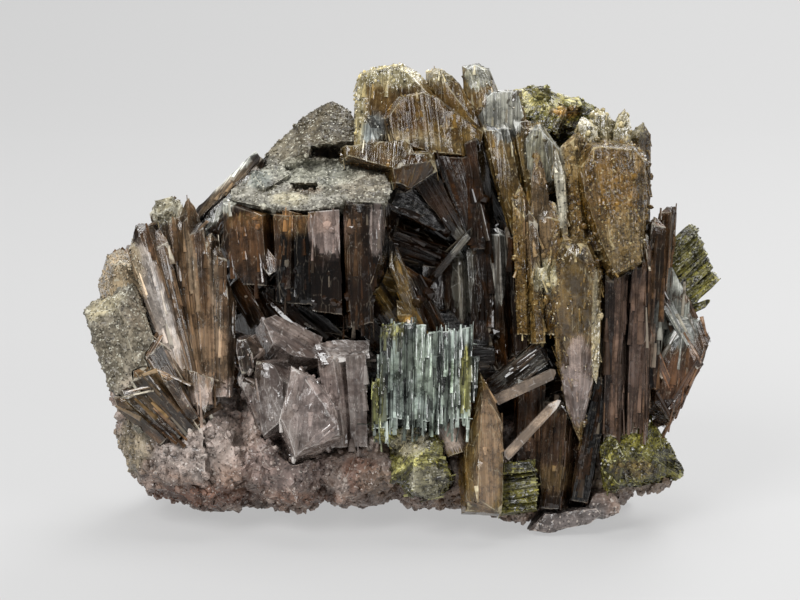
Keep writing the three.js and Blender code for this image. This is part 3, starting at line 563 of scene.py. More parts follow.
# The silver finish is partly the grey of the laths and plates and partly a painted sheen: the pale reflection of the
# surroundings in flat faces, painted into the colour.
SILVER_AND_SHEEN = Finish(
    "silver_axinite", "#2c2b26", "#76776f", "#d4d5ce", rough=0.1, through=0.0, spread=0.8, striae=0.7, cloud=6.0,
    shine=0.6,
)
PALE = Finish(
    "pale_axinite", "#6d5a38", "#b0a178", "#e2dac2", rough=0.2, through=0.4, absorbs=70, glow="#e0c090", spread=0.35,
    facet_turn=0.3, facet_size=0.45, cloud=3.0, white=0.05, black=0.06, striae=0.4,
)
CRUST = Finish(
    "grey_crust", "#4a4639", "#87847a", "#c4c1b0", rough=0.45, spread=0.25, facet_turn=0.6, facet_size=0.34,
    cloud=3.4, striae=0.1, cracks=0.1, white=0.07, black=0.08, shine=0.3,
)
ROCK = Finish(
    "matrix_rock", "#5c4c44", "#96877e", "#bdb2a8", warm="#7f6350", warmth=0.5, rough=0.38, spread=0.25,
    facet_turn=0.55, facet_size=0.38, cloud=4.5, striae=0.1, cracks=0.3, white=0.05, black=0.06, shine=0.4,
)
EPIDOTE = Finish(
    "epidote", "#1d1b09", "#6f692c", "#b0ad72", warm="#534e18", warmth=0.5, rough=0.2, spread=0.7, striae=0.8,
    facet_turn=0.4, facet_size=0.42, cloud=2.5, index=1.74, white=0.01, black=0.16, shine=0.35,
)
STEEL = Finish(
    "steel_epidote", "#252b27", "#7d867f", "#cdd5cc", warm="#4d5626", warmth=0.2, rough=0.12, spread=0.95,
    striae=1.0, cloud=6.0, index=1.74, shine=0.7,
)


@dataclass(frozen=True)
class Patch:
    """A soft patch on the display face: its middle and half sizes in millimetres, and what it changes there."""

    across: float
    up: float
    half: Range
    # The tint is the patch's colour. On one patch it is painted shade, and on a few others it is a painted
    # reflection.
    tint: str | None = None
    strength: float = 0.85
    finish: Finish | None = None
    turn: float = 0.0
    grit: float | None = None
    least_out: float = -40.0

    def share(self, seen: Array, facing: Array) -> Array:
        """Works out how much of the patch each place has.

        Args:
            seen: places on the display face.
            facing: how far each place faces out, from -1 to 1.

        Returns:
            The share of each place, from 0 to 1.
        """
        angle = math.radians(self.turn)
        x, y = seen[:, 0] - self.across, seen[:, 1] - self.up
        along = (x * math.cos(angle) + y * math.sin(angle)) / self.half[0]
        aside = (y * math.cos(angle) - x * math.sin(angle)) / self.half[1]
        reach = np.hypot(along, aside) + Noise(17).fractal(seen, 3.0, 2) * 0.3
        return np.clip((1.2 - reach) / 0.4, 0, 1) * (facing > -0.2) * (seen[:, 2] > self.least_out)


class Growth(Enum):
    """What grows on a skin. The value names the mask that says where."""

    BLADES = "blades"
    GRAINS = "grains"
    CHUNKS = "chunks"


@dataclass(frozen=True)
class Scatter:
    """Small crystals scattered on a skin by Geometry Nodes: density a square millimetre, sizes in millimetres."""

    growth: Growth
    density: float
    length: Range
    width: Range
    wander: float = 0.12
    finish: Finish | None = None
    seed: int = 5

    def sizes(self) -> dict[str, float]:
        """Gives the tree's named sizes.

        Returns:
            The sizes by name, in metres.
        """
        sizes = {"Density": self.density / MM**2}
        for name, size in zip(("Shortest", "Longest", "Narrowest", "Widest"), (*self.length, *self.width)):
            sizes[name] = size * MM
        return {**sizes, "Wander": self.wander}

    def tree(self, finish: Material) -> NodeTree:
        """Builds the node tree.

        Args:
            finish: the material that the crystals get.

        Returns:
            The tree, with named inputs for its sizes.
        """
        takes = {"Geometry": "Geometry", **self.sizes()}
        name = f"scatter_{self.growth.value}"
        nodes = Nodes.group(name, takes, {"Geometry": "Geometry"}, "GeometryNodeTree")
        inside = nodes.inside
        mask = nodes.add("GeometryNodeInputNamedAttribute", {"Name": self.growth.value}, data_type="FLOAT")
        points = nodes.add(
            "GeometryNodeDistributePointsOnFaces",
            {"Mesh": inside["Geometry"], "Density": nodes.times(inside["Density"], mask), "Seed": self.seed},
            distribute_method="RANDOM",
        )
        length = self._random(nodes, "Shortest", "Longest", 10)
        width = self._random(nodes, "Narrowest", "Widest", 20)
        thick = nodes.times(width, 0.42 if self.growth is Growth.BLADES else 0.8)
        scale = nodes.add("ShaderNodeCombineXYZ", {0: width, 1: thick, 2: length})
        turn = self._turn(nodes, points.outputs["Normal"])
        crystals = {"Points": points, "Instance": self._shape(nodes), "Rotation": turn, "Scale": scale}
        grown = nodes.add("GeometryNodeInstanceOnPoints", crystals)
        chance = nodes.add("FunctionNodeRandomValue", {"Seed": self.seed + 3}, data_type="FLOAT").outputs[1]
        named = nodes.add(
            "GeometryNodeStoreNamedAttribute",
            {"Geometry": grown, "Name": "facet", "Value": chance},
            data_type="FLOAT",
            domain="INSTANCE",
        )
        whole = nodes.add("GeometryNodeRealizeInstances", {0: named})
        nodes.add("NodeGroupOutput", {0: nodes.add("GeometryNodeSetMaterial", {0: whole, "Material": finish})})
        return nodes.tree

    def _shape(self, nodes: Nodes) -> Node:
        """Adds the one crystal that is repeated: a tapered prism, a small block or a rounded lump.

        Args:
            nodes: the tree's nodes.

        Returns:
            The node with the crystal's mesh.
        """
        if self.growth is Growth.GRAINS:
            return nodes.add("GeometryNodeMeshCube", {"Size": (1.0, 1.0, 1.0)})
        if self.growth is Growth.CHUNKS:
            return nodes.add("GeometryNodeMeshIcoSphere", {"Radius": 0.5, "Subdivisions": 1})
        prism = {"Vertices": 6, "Radius Top": 0.22, "Radius Bottom": 0.5, "Depth": 1.0}
        cone = nodes.add("GeometryNodeMeshCone", prism)
        return nodes.add("GeometryNodeTransform", {"Geometry": cone, "Translation": (0, 0, -0.75)})

    def _random(self, nodes: Nodes, low: str, high: str, step: int) -> NodeSocket:
        """Adds a random value between two of the tree's sizes."""
        values = {2: nodes.inside[low], 3: nodes.inside[high], "Seed": self.seed + step}
        return nodes.add("FunctionNodeRandomValue", values, data_type="FLOAT").outputs[1]

    def _turn(self, nodes: Nodes, normal: NodeSocket) -> Node:
        """Adds the turn of each crystal: a blade lies along the grain, and the others any way.

        Args:
            nodes: the tree's nodes.
            normal: the normal of the skin at each crystal.

        Returns:
            The node with the turn.
        """
        wander = nodes.inside["Wander"]
        ends = {"Seed": self.seed + 40}
        for number, value in enumerate((nodes.times(wander, -1.0), wander)):
            ends[number] = nodes.add("ShaderNodeCombineXYZ", dict.fromkeys(range(3), value))
        loose = nodes.add("FunctionNodeRandomValue", ends, data_type="FLOAT_VECTOR")
        if self.growth is not Growth.BLADES:
            return loose
        align = "FunctionNodeAlignRotationToVector"
        grain = nodes.add("GeometryNodeInputNamedAttribute", {"Name": "grain"}, data_type="FLOAT_VECTOR")
        along = nodes.add(align, {"Vector": grain}, axis="Z")
        flat = nodes.add(align, {"Rotation": along, "Vector": normal}, axis="Y", pivot_axis="Z")
        turns = {"Rotation": flat, "Rotate By": loose}
        return nodes.add("FunctionNodeRotateRotation", turns, rotation_space="LOCAL")

    def grow(self, skin: Object, finish: Material, name: str) -> Object:
        """Grows the crystals on a skin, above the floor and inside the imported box.

        Args:
            skin: the skin, with its mask and grain attributes.
            finish: the material of the crystals.
            name: the new object's name.

        Returns:
            The crystals as one plain mesh.
        """
        base = put(name + "_base", skin.data)
        modifier = base.modifiers.new("growth", "NODES")
        modifier.node_group = self.tree(finish)
        for item in modifier.node_group.interface.items_tree:
            if item.in_out == "INPUT" and item.name in self.sizes():
                modifier[item.identifier] = self.sizes()[item.name]
        evaluated = base.evaluated_get(bpy.context.evaluated_depsgraph_get())
        mesh = bpy.data.meshes.new_from_object(evaluated)
        mesh.name = name
        bpy.data.objects.remove(base)
        place = np.clip(read(mesh.vertices, "co", 3), *LIMITS.corners())
        mesh.vertices.foreach_set("co", place.ravel())
        mesh.update()
        return put(name, mesh)


@dataclass
class Limits:
    """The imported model: its box, and what lies close outside a skin. Sizes are in millimetres."""

    margin: float = 0.6
    lift: float = 0.15
    room: float = 1.2
    box: tuple = ()
    tree: BVHTree | None = None

    def read(self, nodes: dict[str, Object]) -> None:
        """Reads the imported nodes.

        Args:
            nodes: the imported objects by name.
        """
        self.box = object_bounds()
        places: list = []
        faces: list = []
        for node in nodes.values():
            start = len(places)
            places += [v.co.copy() for v in node.data.vertices]
            faces += [[start + i for i in p.vertices] for p in node.data.polygons]
        self.tree = BVHTree.FromPolygons(places, faces)

    def corners(self) -> tuple[Array, Array]:
        """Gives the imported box's corners, a little outside it but not under the floor.

        Returns:
            The lowest and the highest corner.
        """
        low, high = (np.array(self.box[k]) + side * self.margin * MM for k, side in enumerate((-1, 1)))
        low[2] = 0.0
        return low, high

    def open(self, places: Array, normals: Array) -> Array:
        """Finds which places have room in front of them.

        Args:
            places: places in metres, one a row.
            normals: their outward directions.

        Returns:
            1 for a place in the open, and 0 for one that another piece covers.
        """
        result = np.ones(len(places))
        for i, (place, normal) in enumerate(zip(places, normals)):
            start = Vector(place) + Vector(normal) * self.lift * MM
            if self.tree.ray_cast(start, Vector(normal), self.room * MM)[0] is not None:
                result[i] = 0.0
        return result


LIMITS = Limits()


Growths = tuple[Scatter, ...]
Patches = tuple[Patch, ...]


@dataclass
class Skin:
    """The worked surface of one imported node. Sizes are in millimetres."""

    node: str = ""
    strip: float = 1.0
    relief: float = 0.2
    facet: float = 2.2
    chip: float = 0.7
    rough: float = 0.0
    lump: float = 5.0
    nick: float = 2.2
    grain: float = 2.6
    along: Triple | None = None

    def __post_init__(self) -> None:
        """Starts the random draws and the lists that the steps fill."""
        self.seed = sum(ord(letter) * (i + 1) for i, letter in enumerate(self.node))
        self.random = np.random.default_rng(self.seed)
        self.axes: list[tuple[Array, Array, Array]] = []
        self.cuts: list[tuple[Array, Array]] = []

    def skin(self, packed: Object) -> Object:
        """Builds the skin's mesh and its attributes.

        Args:
            packed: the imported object.

        Returns:
            The skin.
        """
        plain = packed.data.copy()
        if "custom_normal" in plain.attributes:
            plain.attributes.remove(plain.attributes["custom_normal"])
        sheet = bmesh.new()
        sheet.from_mesh(plain)
        bpy.data.meshes.remove(plain)
        bmesh.ops.remove_doubles(sheet, verts=sheet.verts, dist=0.002 * MM)
        bmesh.ops.dissolve_limit(sheet, angle_limit=math.radians(1.5), verts=sheet.verts, edges=sheet.edges)
        self._number_faces(sheet)
        sharp = self._sharp_edges(sheet)
        if self.strip:
            self._cut_strips(sheet)
        self._subdivide(sheet)
        rim = sheet.verts.layers.float.new("rim")
        for vertex in sheet.verts:
            faces = sorted({face[self.region] for face in vertex.link_faces})
            vertex[rim] = float(any((a, b) in sharp for i, a in enumerate(faces) for b in faces[i + 1 :]))
        mesh = bpy.data.meshes.new(f"{self.node}_skin")
        sheet.to_mesh(mesh)
        sheet.free()
        self._shape(mesh)
        return put(mesh.name, mesh)

    def _number_faces(self, sheet: BMesh) -> None:
        """Numbers the crystal faces and finds each one's normal, grain and cross direction.

        Args:
            sheet: the faces.
        """
        self.region = sheet.faces.layers.int.new("region")
        for number, face in enumerate(sheet.faces):
            face[self.region] = number
            normal = np.array(face.normal)
            tensor = np.zeros((3, 3))
            for edge in face.edges:
                way = np.array(edge.verts[1].co - edge.verts[0].co)
                tensor += np.outer(way, way) * np.linalg.norm(way) * 1000
            if self.along:
                wanted = self.along[0] * np.array([1.0, 0, 0]) + self.along[1] * FACE.up + self.along[2] * FACE.out
                tensor += np.outer(wanted, wanted) * np.trace(tensor) * 1.5
            tensor = tensor - np.outer(normal, tensor @ normal)
            grain = np.linalg.eigh((tensor + tensor.T) / 2)[1][:, 2]
            grain = grain - normal * (grain @ normal)
            size = np.linalg.norm(grain)
            grain = grain / size if size > 1e-6 else np.cross(normal, [0.0, 0.0, 1.0])
            away = np.array(face.calc_center_median()) - np.array([0.0, 0.0, 0.02])
            grain = grain if grain @ away >= 0 else -grain
            self.axes.append((normal, grain, np.cross(normal, grain)))

    def _sharp_edges(self, sheet: BMesh, least: float = 0.45) -> set[tuple[int, ...]]:
        """Finds the pairs of faces that meet in an outward edge.

        Args:
            sheet: the faces.
            least: the least angle of such an edge, in radians.

        Returns:
            The pairs of face numbers, the lower one first.
        """
        edges = (e for e in sheet.edges if len(e.link_faces) == 2 and e.is_convex and e.calc_face_angle(0.0) > least)
        return {tuple(sorted(face[self.region] for face in edge.link_faces)) for edge in edges}

    def _cut_strips(self, sheet: BMesh) -> None:
        """Cuts each crystal face along its grain into strips of uneven widths.

        Args:
            sheet: the faces.
        """
        least_area = 3 * MM**2
        for face in list(sheet.faces):
            aside = self.axes[face[self.region]][2]
            across = np.array([np.array(v.co) @ aside for v in face.verts]) / MM
            low, high = across.min(), across.max()
            lines = []
            here = low + self.strip * self.random.uniform(0.3, 1.2)
            while here < high - 0.3 * self.strip and face.calc_area() > least_area:
                lines.append(here)
                here += self.strip * self.random.uniform(0.35, 1.7)
            depth = -self.random.random(len(lines)) ** 1.6 * self.relief
            deep = self.random.random(len(lines)) < 0.12
            depth = np.where(deep, depth - self.relief * 1.2, depth)
            self.cuts.append((np.array([low, *lines, high]), np.array([0.0, *depth, 0.0])))
            pieces = [face]
            for line in lines:
                corners = {v for piece in pieces for v in piece.verts}
                edges = {e for piece in pieces for e in piece.edges}
                plane = {"plane_co": Vector(aside * line * MM), "plane_no": Vector(aside)}
                cut = bmesh.ops.bisect_plane(sheet, geom=[*corners, *edges, *pieces], dist=1e-7, **plane)
                pieces = [g for g in cut["geom"] if isinstance(g, BMFace)]
                pieces = [p for p in pieces if np.array(p.calc_center_median()) @ aside > line * MM] or pieces

    def _subdivide(self, sheet: BMesh, rounds: int = 7) -> None:
        """Parts every edge that is longer than the facet size.

        Args:
            sheet: the faces.
            rounds: how often an edge may be halved.
        """
        bmesh.ops.triangulate(sheet, faces=sheet.faces)
        for _ in range(rounds):
            long = [edge for edge in sheet.edges if edge.calc_length() > self.facet * MM]
            if not long:
                break
            bmesh.ops.subdivide_edges(sheet, edges=long, cuts=1)
            bmesh.ops.triangulate(sheet, faces=[face for face in sheet.faces if len(face.verts) > 3])

    def _shape(self, mesh: Mesh) -> None:
        """Moves the striations, chips and roughness into the mesh, and maps the grain.

        Args:
            mesh: the cut mesh.
        """
        place = read(mesh.vertices, "co", 3)
        normal = read(mesh.vertex_normals, "vector", 3)
        region = read(mesh.attributes["region"].data, "value", kind=int)
        corner = read(mesh.loops, "vertex_index", kind=int)
        rim = read(mesh.attributes["rim"].data, "value")
        axes = np.array(self.axes)
        here = np.repeat(region, 3)
        move = np.zeros_like(place)
        if self.strip:
            move += self._striations(place, np.unique(np.stack([corner, here], 1), axis=0), axes)
        nicks = np.clip(Noise(self.seed).fractal(place / MM, self.nick, 2) + 0.1, 0, 1)
        move -= normal * (rim * nicks * self.chip)[:, None]
        if self.rough:
            move += normal * self._roughness(place / MM)[:, None]
        moved = place + move * MM
        moved[place[:, 2] < 0.02 * MM, 2] = 0.0
        mesh.vertices.foreach_set("co", np.clip(moved, *LIMITS.corners()).ravel())
        offset = self.random.random((len(axes), 2)) * 40
        uv = [np.einsum("ij,ij->i", place[corner], axes[here, k + 1]) / MM + offset[here, k] for k in (0, 1)]
        layer = mesh.uv_layers.new(name="grain_map")
        layer.data.foreach_set("uv", np.stack(uv, 1).ravel())
        store(mesh, "facet", "FLOAT", "FACE", self.random.random(len(axes))[region])
        store(mesh, "grain", "FLOAT_VECTOR", "FACE", axes[region, 1])
        mesh.update()

    def _striations(self, place: Array, pair: Array, axes: Array) -> Array:
        """Works out how far each vertex sinks into the striations of its faces.

        Args:
            place: the vertices' places in metres.
            pair: rows of a vertex and a face that it is on.
            axes: each face's normal, grain and cross direction.

        Returns:
            The move of each vertex, in millimetres.
        """
        move = np.zeros_like(place)
        times = np.zeros(len(place))
        ordered = pair[np.argsort(pair[:, 1], kind="stable")]
        starts = np.searchsorted(ordered[:, 1], np.arange(len(axes) + 1))
        for number, (lines, depths) in enumerate(self.cuts):
            vertices = ordered[starts[number] : starts[number + 1], 0]
            normal, grain, aside = axes[number]
            sink = np.interp(place[vertices] @ aside / MM, lines, depths)
            swell = 0.65 + 0.35 * np.sin(place[vertices] @ grain / MM * 0.4 + number)
            move[vertices] += normal * (sink * swell)[:, None]
            times[vertices] += 1
        return move / np.maximum(times, 1)[:, None] ** 0.5

    def _roughness(self, place: Array) -> Array:
        """Works out the rough relief of crust or rock.

        Args:
            place: places in millimetres, one a row.

        Returns:
            How far each place moves out of the surface, in millimetres.
        """
        noise = Noise(self.seed + 50)
        ridged = 1 - 2 * np.abs(noise.fractal(place, self.lump, 3))
        return (ridged - 0.5) * self.rough + noise.cells(place, self.grain) * self.rough * 0.32


@dataclass
class Piece(Skin):
    """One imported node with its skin, its finish and what grows on it. An empty slot means the finish's own."""

    slot: str = ""
    finish: Finish = BROWN
    growths: Growths = ()
    grit: float = 0.0
    patches: Patches = ()
    foot: float = 1.5

    def __post_init__(self) -> None:
        """Fills in the slot and starts the skin."""
        super().__post_init__()
        self.slot = self.slot or self.finish.name

    def build(self, nodes: dict[str, Object]) -> None:
        """Builds the piece and hands it to the frame.

        Args:
            nodes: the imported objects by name.
        """
        skin = self.skin(nodes[self.node])
        self._dress(skin.data)
        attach(skin, BODY)
        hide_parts(self.node)
        grown = []
        for scatter in self.growths:
            material = (scatter.finish or self.finish).opaque().material()
            crystals = scatter.grow(skin, material, f"{self.node}_{scatter.growth.value}")
            if not len(crystals.data.polygons):
                bpy.data.objects.remove(crystals)
                continue
            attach(crystals, BODY)
            grown.append(len(crystals.data.polygons))
        log.info("%s: %d faces, grown %s", self.node, len(skin.data.polygons), grown)

    def _dress(self, mesh: Mesh) -> None:
        """Gives the skin its tints, its finishes and the masks of what grows on it. Some tints and finishes are
        painted shade and painted reflections.

        Args:
            mesh: the skin's mesh.
        """
        place = read(mesh.vertices, "co", 3)
        normal = read(mesh.vertex_normals, "vector", 3)
        seen, facing = FACE.seen(place), normal @ FACE.out
        tint = np.zeros((len(place), 4), np.float32)
        grit = np.full(len(place), self.grit)
        finish = np.zeros(len(place), int)
        finishes = [self.finish]
        for patch in self.patches:
            share = patch.share(seen, facing)
            # Most patch tints are colour. A few are painted shade in a slit and painted reflections on faces that
            # mirror the light.
            if patch.tint:
                weight = (share * patch.strength)[:, None]
                tint[:, :3] = tint[:, :3] * (1 - weight) + np.array(linear(patch.tint)[:3]) * weight
                tint[:, 3:] = np.maximum(tint[:, 3:] * (1 - weight), weight)
            if patch.grit is not None:
                grit = grit * (1 - share) + patch.grit * share
            if patch.finish:
                if patch.finish not in finishes:
                    finishes.append(patch.finish)
                finish[share > 0.5] = finishes.index(patch.finish)
        tint[:, :3] = np.clip(tint[:, :3] / np.maximum(tint[:, 3:], 1e-4), 0, 1)
        store(mesh, "tint", "FLOAT_COLOR", "POINT", tint)
        room = LIMITS.open(place, normal) * (place[:, 2] > self.foot * MM)
        for growth in Growth:
            mask = 1 - grit if growth is Growth.BLADES else grit
            store(mesh, growth.value, "FLOAT", "POINT", np.clip(mask, 0, 1) * room)
        for one in finishes:
            mesh.materials.append(one.material())
        votes = finish[read(mesh.loops, "vertex_index", kind=int)].reshape(-1, 3)
        mesh.polygons.foreach_set("material_index", np.median(votes, axis=1).astype(np.int32))
        mesh.polygons.foreach_set("use_smooth", np.zeros(len(mesh.polygons), bool))
        mesh.update()


def blades(density: float, longest: float, widest: float, wander: float = 0.06) -> Scatter:
    """Gives thin blades that lie along the grain, mostly sunk in the skin."""
    return Scatter(Growth.BLADES, density, (longest * 0.3, longest), (0.35, widest), wander)


def grains(density: float, largest: float, finish: Finish | None = None) -> Scatter:
    """Gives small grains that lie any way."""
    sizes = (largest * 0.35, largest)
    return Scatter(Growth.GRAINS, density, sizes, sizes, 3.1, finish, seed=9)


def chunks(density: float, largest: float) -> Scatter:
    """Gives broken lumps that lie any way, mostly sunk in the skin."""
    sizes = (largest * 0.4, largest)
    return Scatter(Growth.CHUNKS, density, sizes, sizes, 3.1, seed=23)


@dataclass
class LeftSpray(Piece):
    """The fan of striated blades on the left, with the pale crystal behind it."""

    node: str = "left_spray"
    growths: Growths = (blades(0.14, 9.0, 1.3, 0.03), grains(1.0, 0.5, CRUST))
    patches: Patches = (
        Patch(-46, 50, (13, 24), "#64523d", 0.55), Patch(-44, 57, (1.4, 14), "#3a2817", 0.8, turn=9),
        Patch(-38.6, 50, (1.2, 12), "#42301f", 0.7, turn=2), Patch(-42, 40, (9, 8), "#7c6b58", 0.45),
        # The lilac patches of the left spray, on this line and at -44, 30 below, are partly their own lilac and
        # partly a painted reflection: a pale sheen on faces that mirror the light.
        Patch(-54.2, 52, (2.5, 14), "#a8a098", 0.8, LILAC_AND_SHEEN, turn=19), Patch(-57.6, 66.4, (1.6, 2), "#6b5038", turn=19),
        Patch(-52, 72, (3.6, 3.4), "#7d765e", finish=CRUST, grit=1),
        Patch(-38, 28, (4.4, 6), "#76675f", finish=ROCK, grit=1),
        Patch(-62.6, 57, (6, 8), "#b5a183", finish=PALE, turn=-10, grit=1, least_out=-16),
        Patch(-41, 53, (1.2, 10), "#85735f", turn=6), Patch(-46.4, 60, (1.1, 8), "#8c7a64", turn=10),
        Patch(-50, 40, (1.2, 6), "#8b7e70", 0.5, turn=24), Patch(-57, 30, (8, 4), "#6c5838", 0.7, turn=60),
        Patch(-44, 30, (5, 2.2), "#9a887c", 0.7, LILAC_AND_SHEEN, grit=0.4),
    )


@dataclass
class CornerBlock(Piece):
    """The crusted block at the left edge."""

    node: str = "corner_block"
    finish: Finish = CRUST
    strip: float = 0.0
    facet: float = 1.1
    rough: float = 0.8
    growths: Growths = (grains(0.8, 0.5), chunks(0.12, 1.8))
    grit: float = 0.6
    patches: Patches = (
        Patch(-60, 42, (9, 16), "#6e6554", 0.8), Patch(-57, 49, (4, 5), "#5b4c38", 0.7),
        Patch(-66, 50, (5, 1.8), "#9d9272", 0.7, turn=28), Patch(-58, 30, (5, 6), "#857a6c", 0.8),
    )


@dataclass
class Plateau(Piece):
    """The large brown crystals under the crust, with the slanted blades beside them."""

    node: str = "plateau_crystals"
    slot: str = "brown_axinite"
    finish: Finish = DARK
    growths: Growths = (blades(0.14, 6.0, 1.2), chunks(0.05, 2.4))
    grit: float = 0.2
    along: Triple = (0.0, 1.0, 0.0)
    patches: Patches = (
        Patch(-24.5, 69, (12, 2.6), "#a0764a", finish=HONEY), Patch(-32, 63, (6, 7), "#5a3e26", 0.8, BROWN),
        Patch(-22, 55, (18, 5), "#1c110a", 0.8, grit=0.7), Patch(-15.8, 67.2, (4.4, 5.2), "#84746d", finish=LILAC_AND_SHEEN),
        # The two lilac patches on the next line are painted reflections: pale mauve where flat faces mirror the
        # light, over some lilac of their own.
        Patch(-5.2, 67.4, (1.8, 6), "#7a6c65", finish=LILAC_AND_SHEEN), Patch(-10.6, 64, (2.2, 8), "#523d2a", 0.7, BROWN),
        # The pale silver strips on the slanted laths, on this line and the next, are partly their steel-grey colour
        # and partly a painted reflection of the light.
        Patch(-36.4, 80.6, (7, 1.1), "#d2d4cc", finish=SILVER_AND_SHEEN, turn=45), Patch(-39, 76, (8, 1.3), "#6e5c46", turn=45),
        Patch(-37.6, 73.4, (8, 1), "#b4b4a6", finish=SILVER_AND_SHEEN, turn=45), Patch(-33, 76.4, (2.4, 1), "#44362a", turn=45),
    )


@dataclass
class GreyCrust(Piece):
    """The grey granular crust over the plateau, and its hump."""

    node: str = "grey_crust"
    finish: Finish = CRUST
    strip: float = 0.0
    facet: float = 1.0
    rough: float = 0.9
    growths: Growths = (grains(0.8, 0.5), chunks(0.1, 1.8))
    grit: float = 0.7
    patches: Patches = (
        Patch(-18, 90, (13, 6), "#4a402b", turn=25), Patch(-26, 86, (3, 5), "#6a6250", turn=30),
        Patch(-24.4, 74, (4.4, 1.6), "#98917a", 0.8), Patch(-31.6, 78.6, (3.4, 2.2), "#70756f", 0.8),
        Patch(-8, 77, (6, 3.4), "#7e7666"), Patch(-21, 76.6, (3.4, 1.4), "#54432f", 0.9),
        # The first patch on the next line is painted shade: it darkens the slit under the overhanging front edge of
        # the hump.
        Patch(-15, 84, (6, 2), "#4a3c2c", 0.8), Patch(-19, 80, (10, 3), "#858578", 0.7),
    )


@dataclass
class TopCrystals(Piece):
    """The honey block, the points and the silver plates at the top. The silver of the plates is partly their grey
    colour and partly a painted sheen.
    """

    node: str = "top_crystals"
    finish: Finish = HONEY
    growths: Growths = (blades(0.08, 4.0, 1.0), grains(0.7, 0.5, PALE), chunks(0.15, 1.4))
    grit: float = 0.15
    along: Triple = (0.1, 1.0, 0.0)
    patches: Patches = (
        Patch(-3, 101.8, (8, 3.4), "#c4b98c", finish=PALE, grit=0.5),
        Patch(-9.4, 95, (2.2, 8), "#b9ac7e", finish=PALE, grit=0.3), Patch(-4, 95, (4, 5), "#7f6230"),
        Patch(0.6, 91.4, (6, 4.4), "#543a18"), Patch(8, 95, (4.4, 4.4), "#57411f"),
        Patch(2, 87.6, (9, 1.2), "#a3987c", 0.6, turn=-8),
        Patch(-6, 89.6, (2.6, 3.4), "#7f8584", finish=SILVER_AND_SHEEN, turn=-20),
        Patch(9, 101.6, (3.4, 1.8), "#a79a74", finish=PALE), Patch(17, 101.6, (3, 3.6), "#8b8874", finish=SILVER_AND_SHEEN),
        Patch(22.4, 93, (4.4, 6), "#5d5c54", finish=SILVER_AND_SHEEN), Patch(32, 84, (4.4, 6), "#66624f", 0.7, SILVER_AND_SHEEN),
        Patch(-6, 83, (6, 2.2), "#6b5436"), Patch(3, 80, (5, 3.6), "#4c3209", finish=BROWN),
    )


@dataclass
class HollowCrystals(Piece):
    """The dark blades round the central hollow."""

    node: str = "hollow_crystals"
    finish: Finish = DARK
    strip: float = 1.3
    facet: float = 2.6
    growths: Growths = (blades(0.08, 11.0, 2.0, 0.14), chunks(0.04, 4.0))
    grit: float = 0.2
    patches: Patches = (
        Patch(-2, 55, (4, 10), "#b08c4a", finish=HONEY, turn=24), Patch(14, 58, (2.4, 10), "#4a443a", 0.8, SILVER_AND_SHEEN),
        Patch(22, 60, (1.6, 9), "#55504a", 0.8, SILVER_AND_SHEEN),
    )


@dataclass
class LilacCrystals(Piece):
    """The lilac crystals low in the middle. Their pale lilac is partly their own colour and partly a painted sheen.
    """

    node: str = "lilac_crystals"
    finish: Finish = LILAC_AND_SHEEN
    strip: float = 1.6
    relief: float = 0.16
    rough: float = 0.2
    growths: Growths = (blades(0.08, 5.0, 1.8), grains(0.4, 0.5), chunks(0.06, 2.4))
    grit: float = 0.25
    patches: Patches = (
        Patch(-28, 41, (5, 5), "#6c605a", 0.7), Patch(-33, 38, (3, 6), "#6a5b50", 0.8, BROWN),
        Patch(-18, 28, (6, 8), "#8b7d78", 0.6), Patch(-12, 39, (5, 2), "#93877f", 0.6),
    )


@dataclass
class RightCrown(Piece):
    """The tan sugary block, the white edge blade, the centre spires and the wedge crystal."""

    node: str = "right_crown"
    finish: Finish = TAN
    growths: Growths = (blades(0.2, 4.0, 0.9, 0.35), grains(0.5, 0.5, PALE), chunks(0.12, 2.2))
    grit: float = 0.25
    along: Triple = (0.0, 1.0, 0.0)
    patches: Patches = (
        Patch(46, 91, (9, 4), "#a69c76", finish=PALE, grit=0.6), Patch(45.6, 76, (7, 9), "#6a4c14"),
        Patch(50, 64, (5, 7), "#75603a"), Patch(38, 84, (2.4, 6), "#8c7448"), Patch(47, 61, (8, 3), grit=1),
        Patch(40, 37, (3, 4), grit=0.9), Patch(35.6, 77, (1.3, 10), "#cdc8b4", finish=PALE, turn=4, grit=0),
        Patch(30.4, 70, (3, 12), "#7d6749", finish=BROWN, grit=0),
        Patch(32.2, 57, (2.8, 3.4), "#a59a74", finish=CRUST, grit=0.9),
        Patch(39.2, 50, (4, 14), "#5f4a22", 0.8, HONEY, grit=0.1), Patch(39.6, 34, (3.4, 9), "#7d6e67", 0.8, LILAC_AND_SHEEN),
        Patch(36.6, 44, (1.2, 10), "#2e2014", 0.7, turn=4), Patch(43.6, 44, (0.9, 14), "#b3a684", finish=PALE),
    )


@dataclass
class RightColumns(Piece):
    """The purple-brown columns under the right crown, with the thin plates on the right edge."""

    node: str = "right_columns"
    growths: Growths = (blades(0.16, 12.0, 1.6),)
    patches: Patches = (
        Patch(50.6, 42, (6, 20), "#52443d", 0.7, DARK), Patch(61.6, 57, (2.2, 4.4), "#8f9088", finish=SILVER_AND_SHEEN),
        Patch(61.6, 46, (5, 5.4), "#83857d", 0.8, SILVER_AND_SHEEN), Patch(62, 34, (5, 6), "#6b4c38", 0.7, BROWN),
    )


@dataclass
class FinCrystal(Piece):
    """The honey crystal with a fin edge, low in front."""

    node: str = "fin_crystal"
    finish: Finish = HONEY
    strip: float = 1.8
    relief: float = 0.12
    growths: Growths = (blades(0.04, 4.0, 1.4),)
    patches: Patches = (
        Patch(20, 20, (3, 16), "#a5886a", turn=-4), Patch(11, 29, (5, 3), "#6e4e34"),
        Patch(11, 22, (4, 4), "#98887a", finish=LILAC_AND_SHEEN),
    )


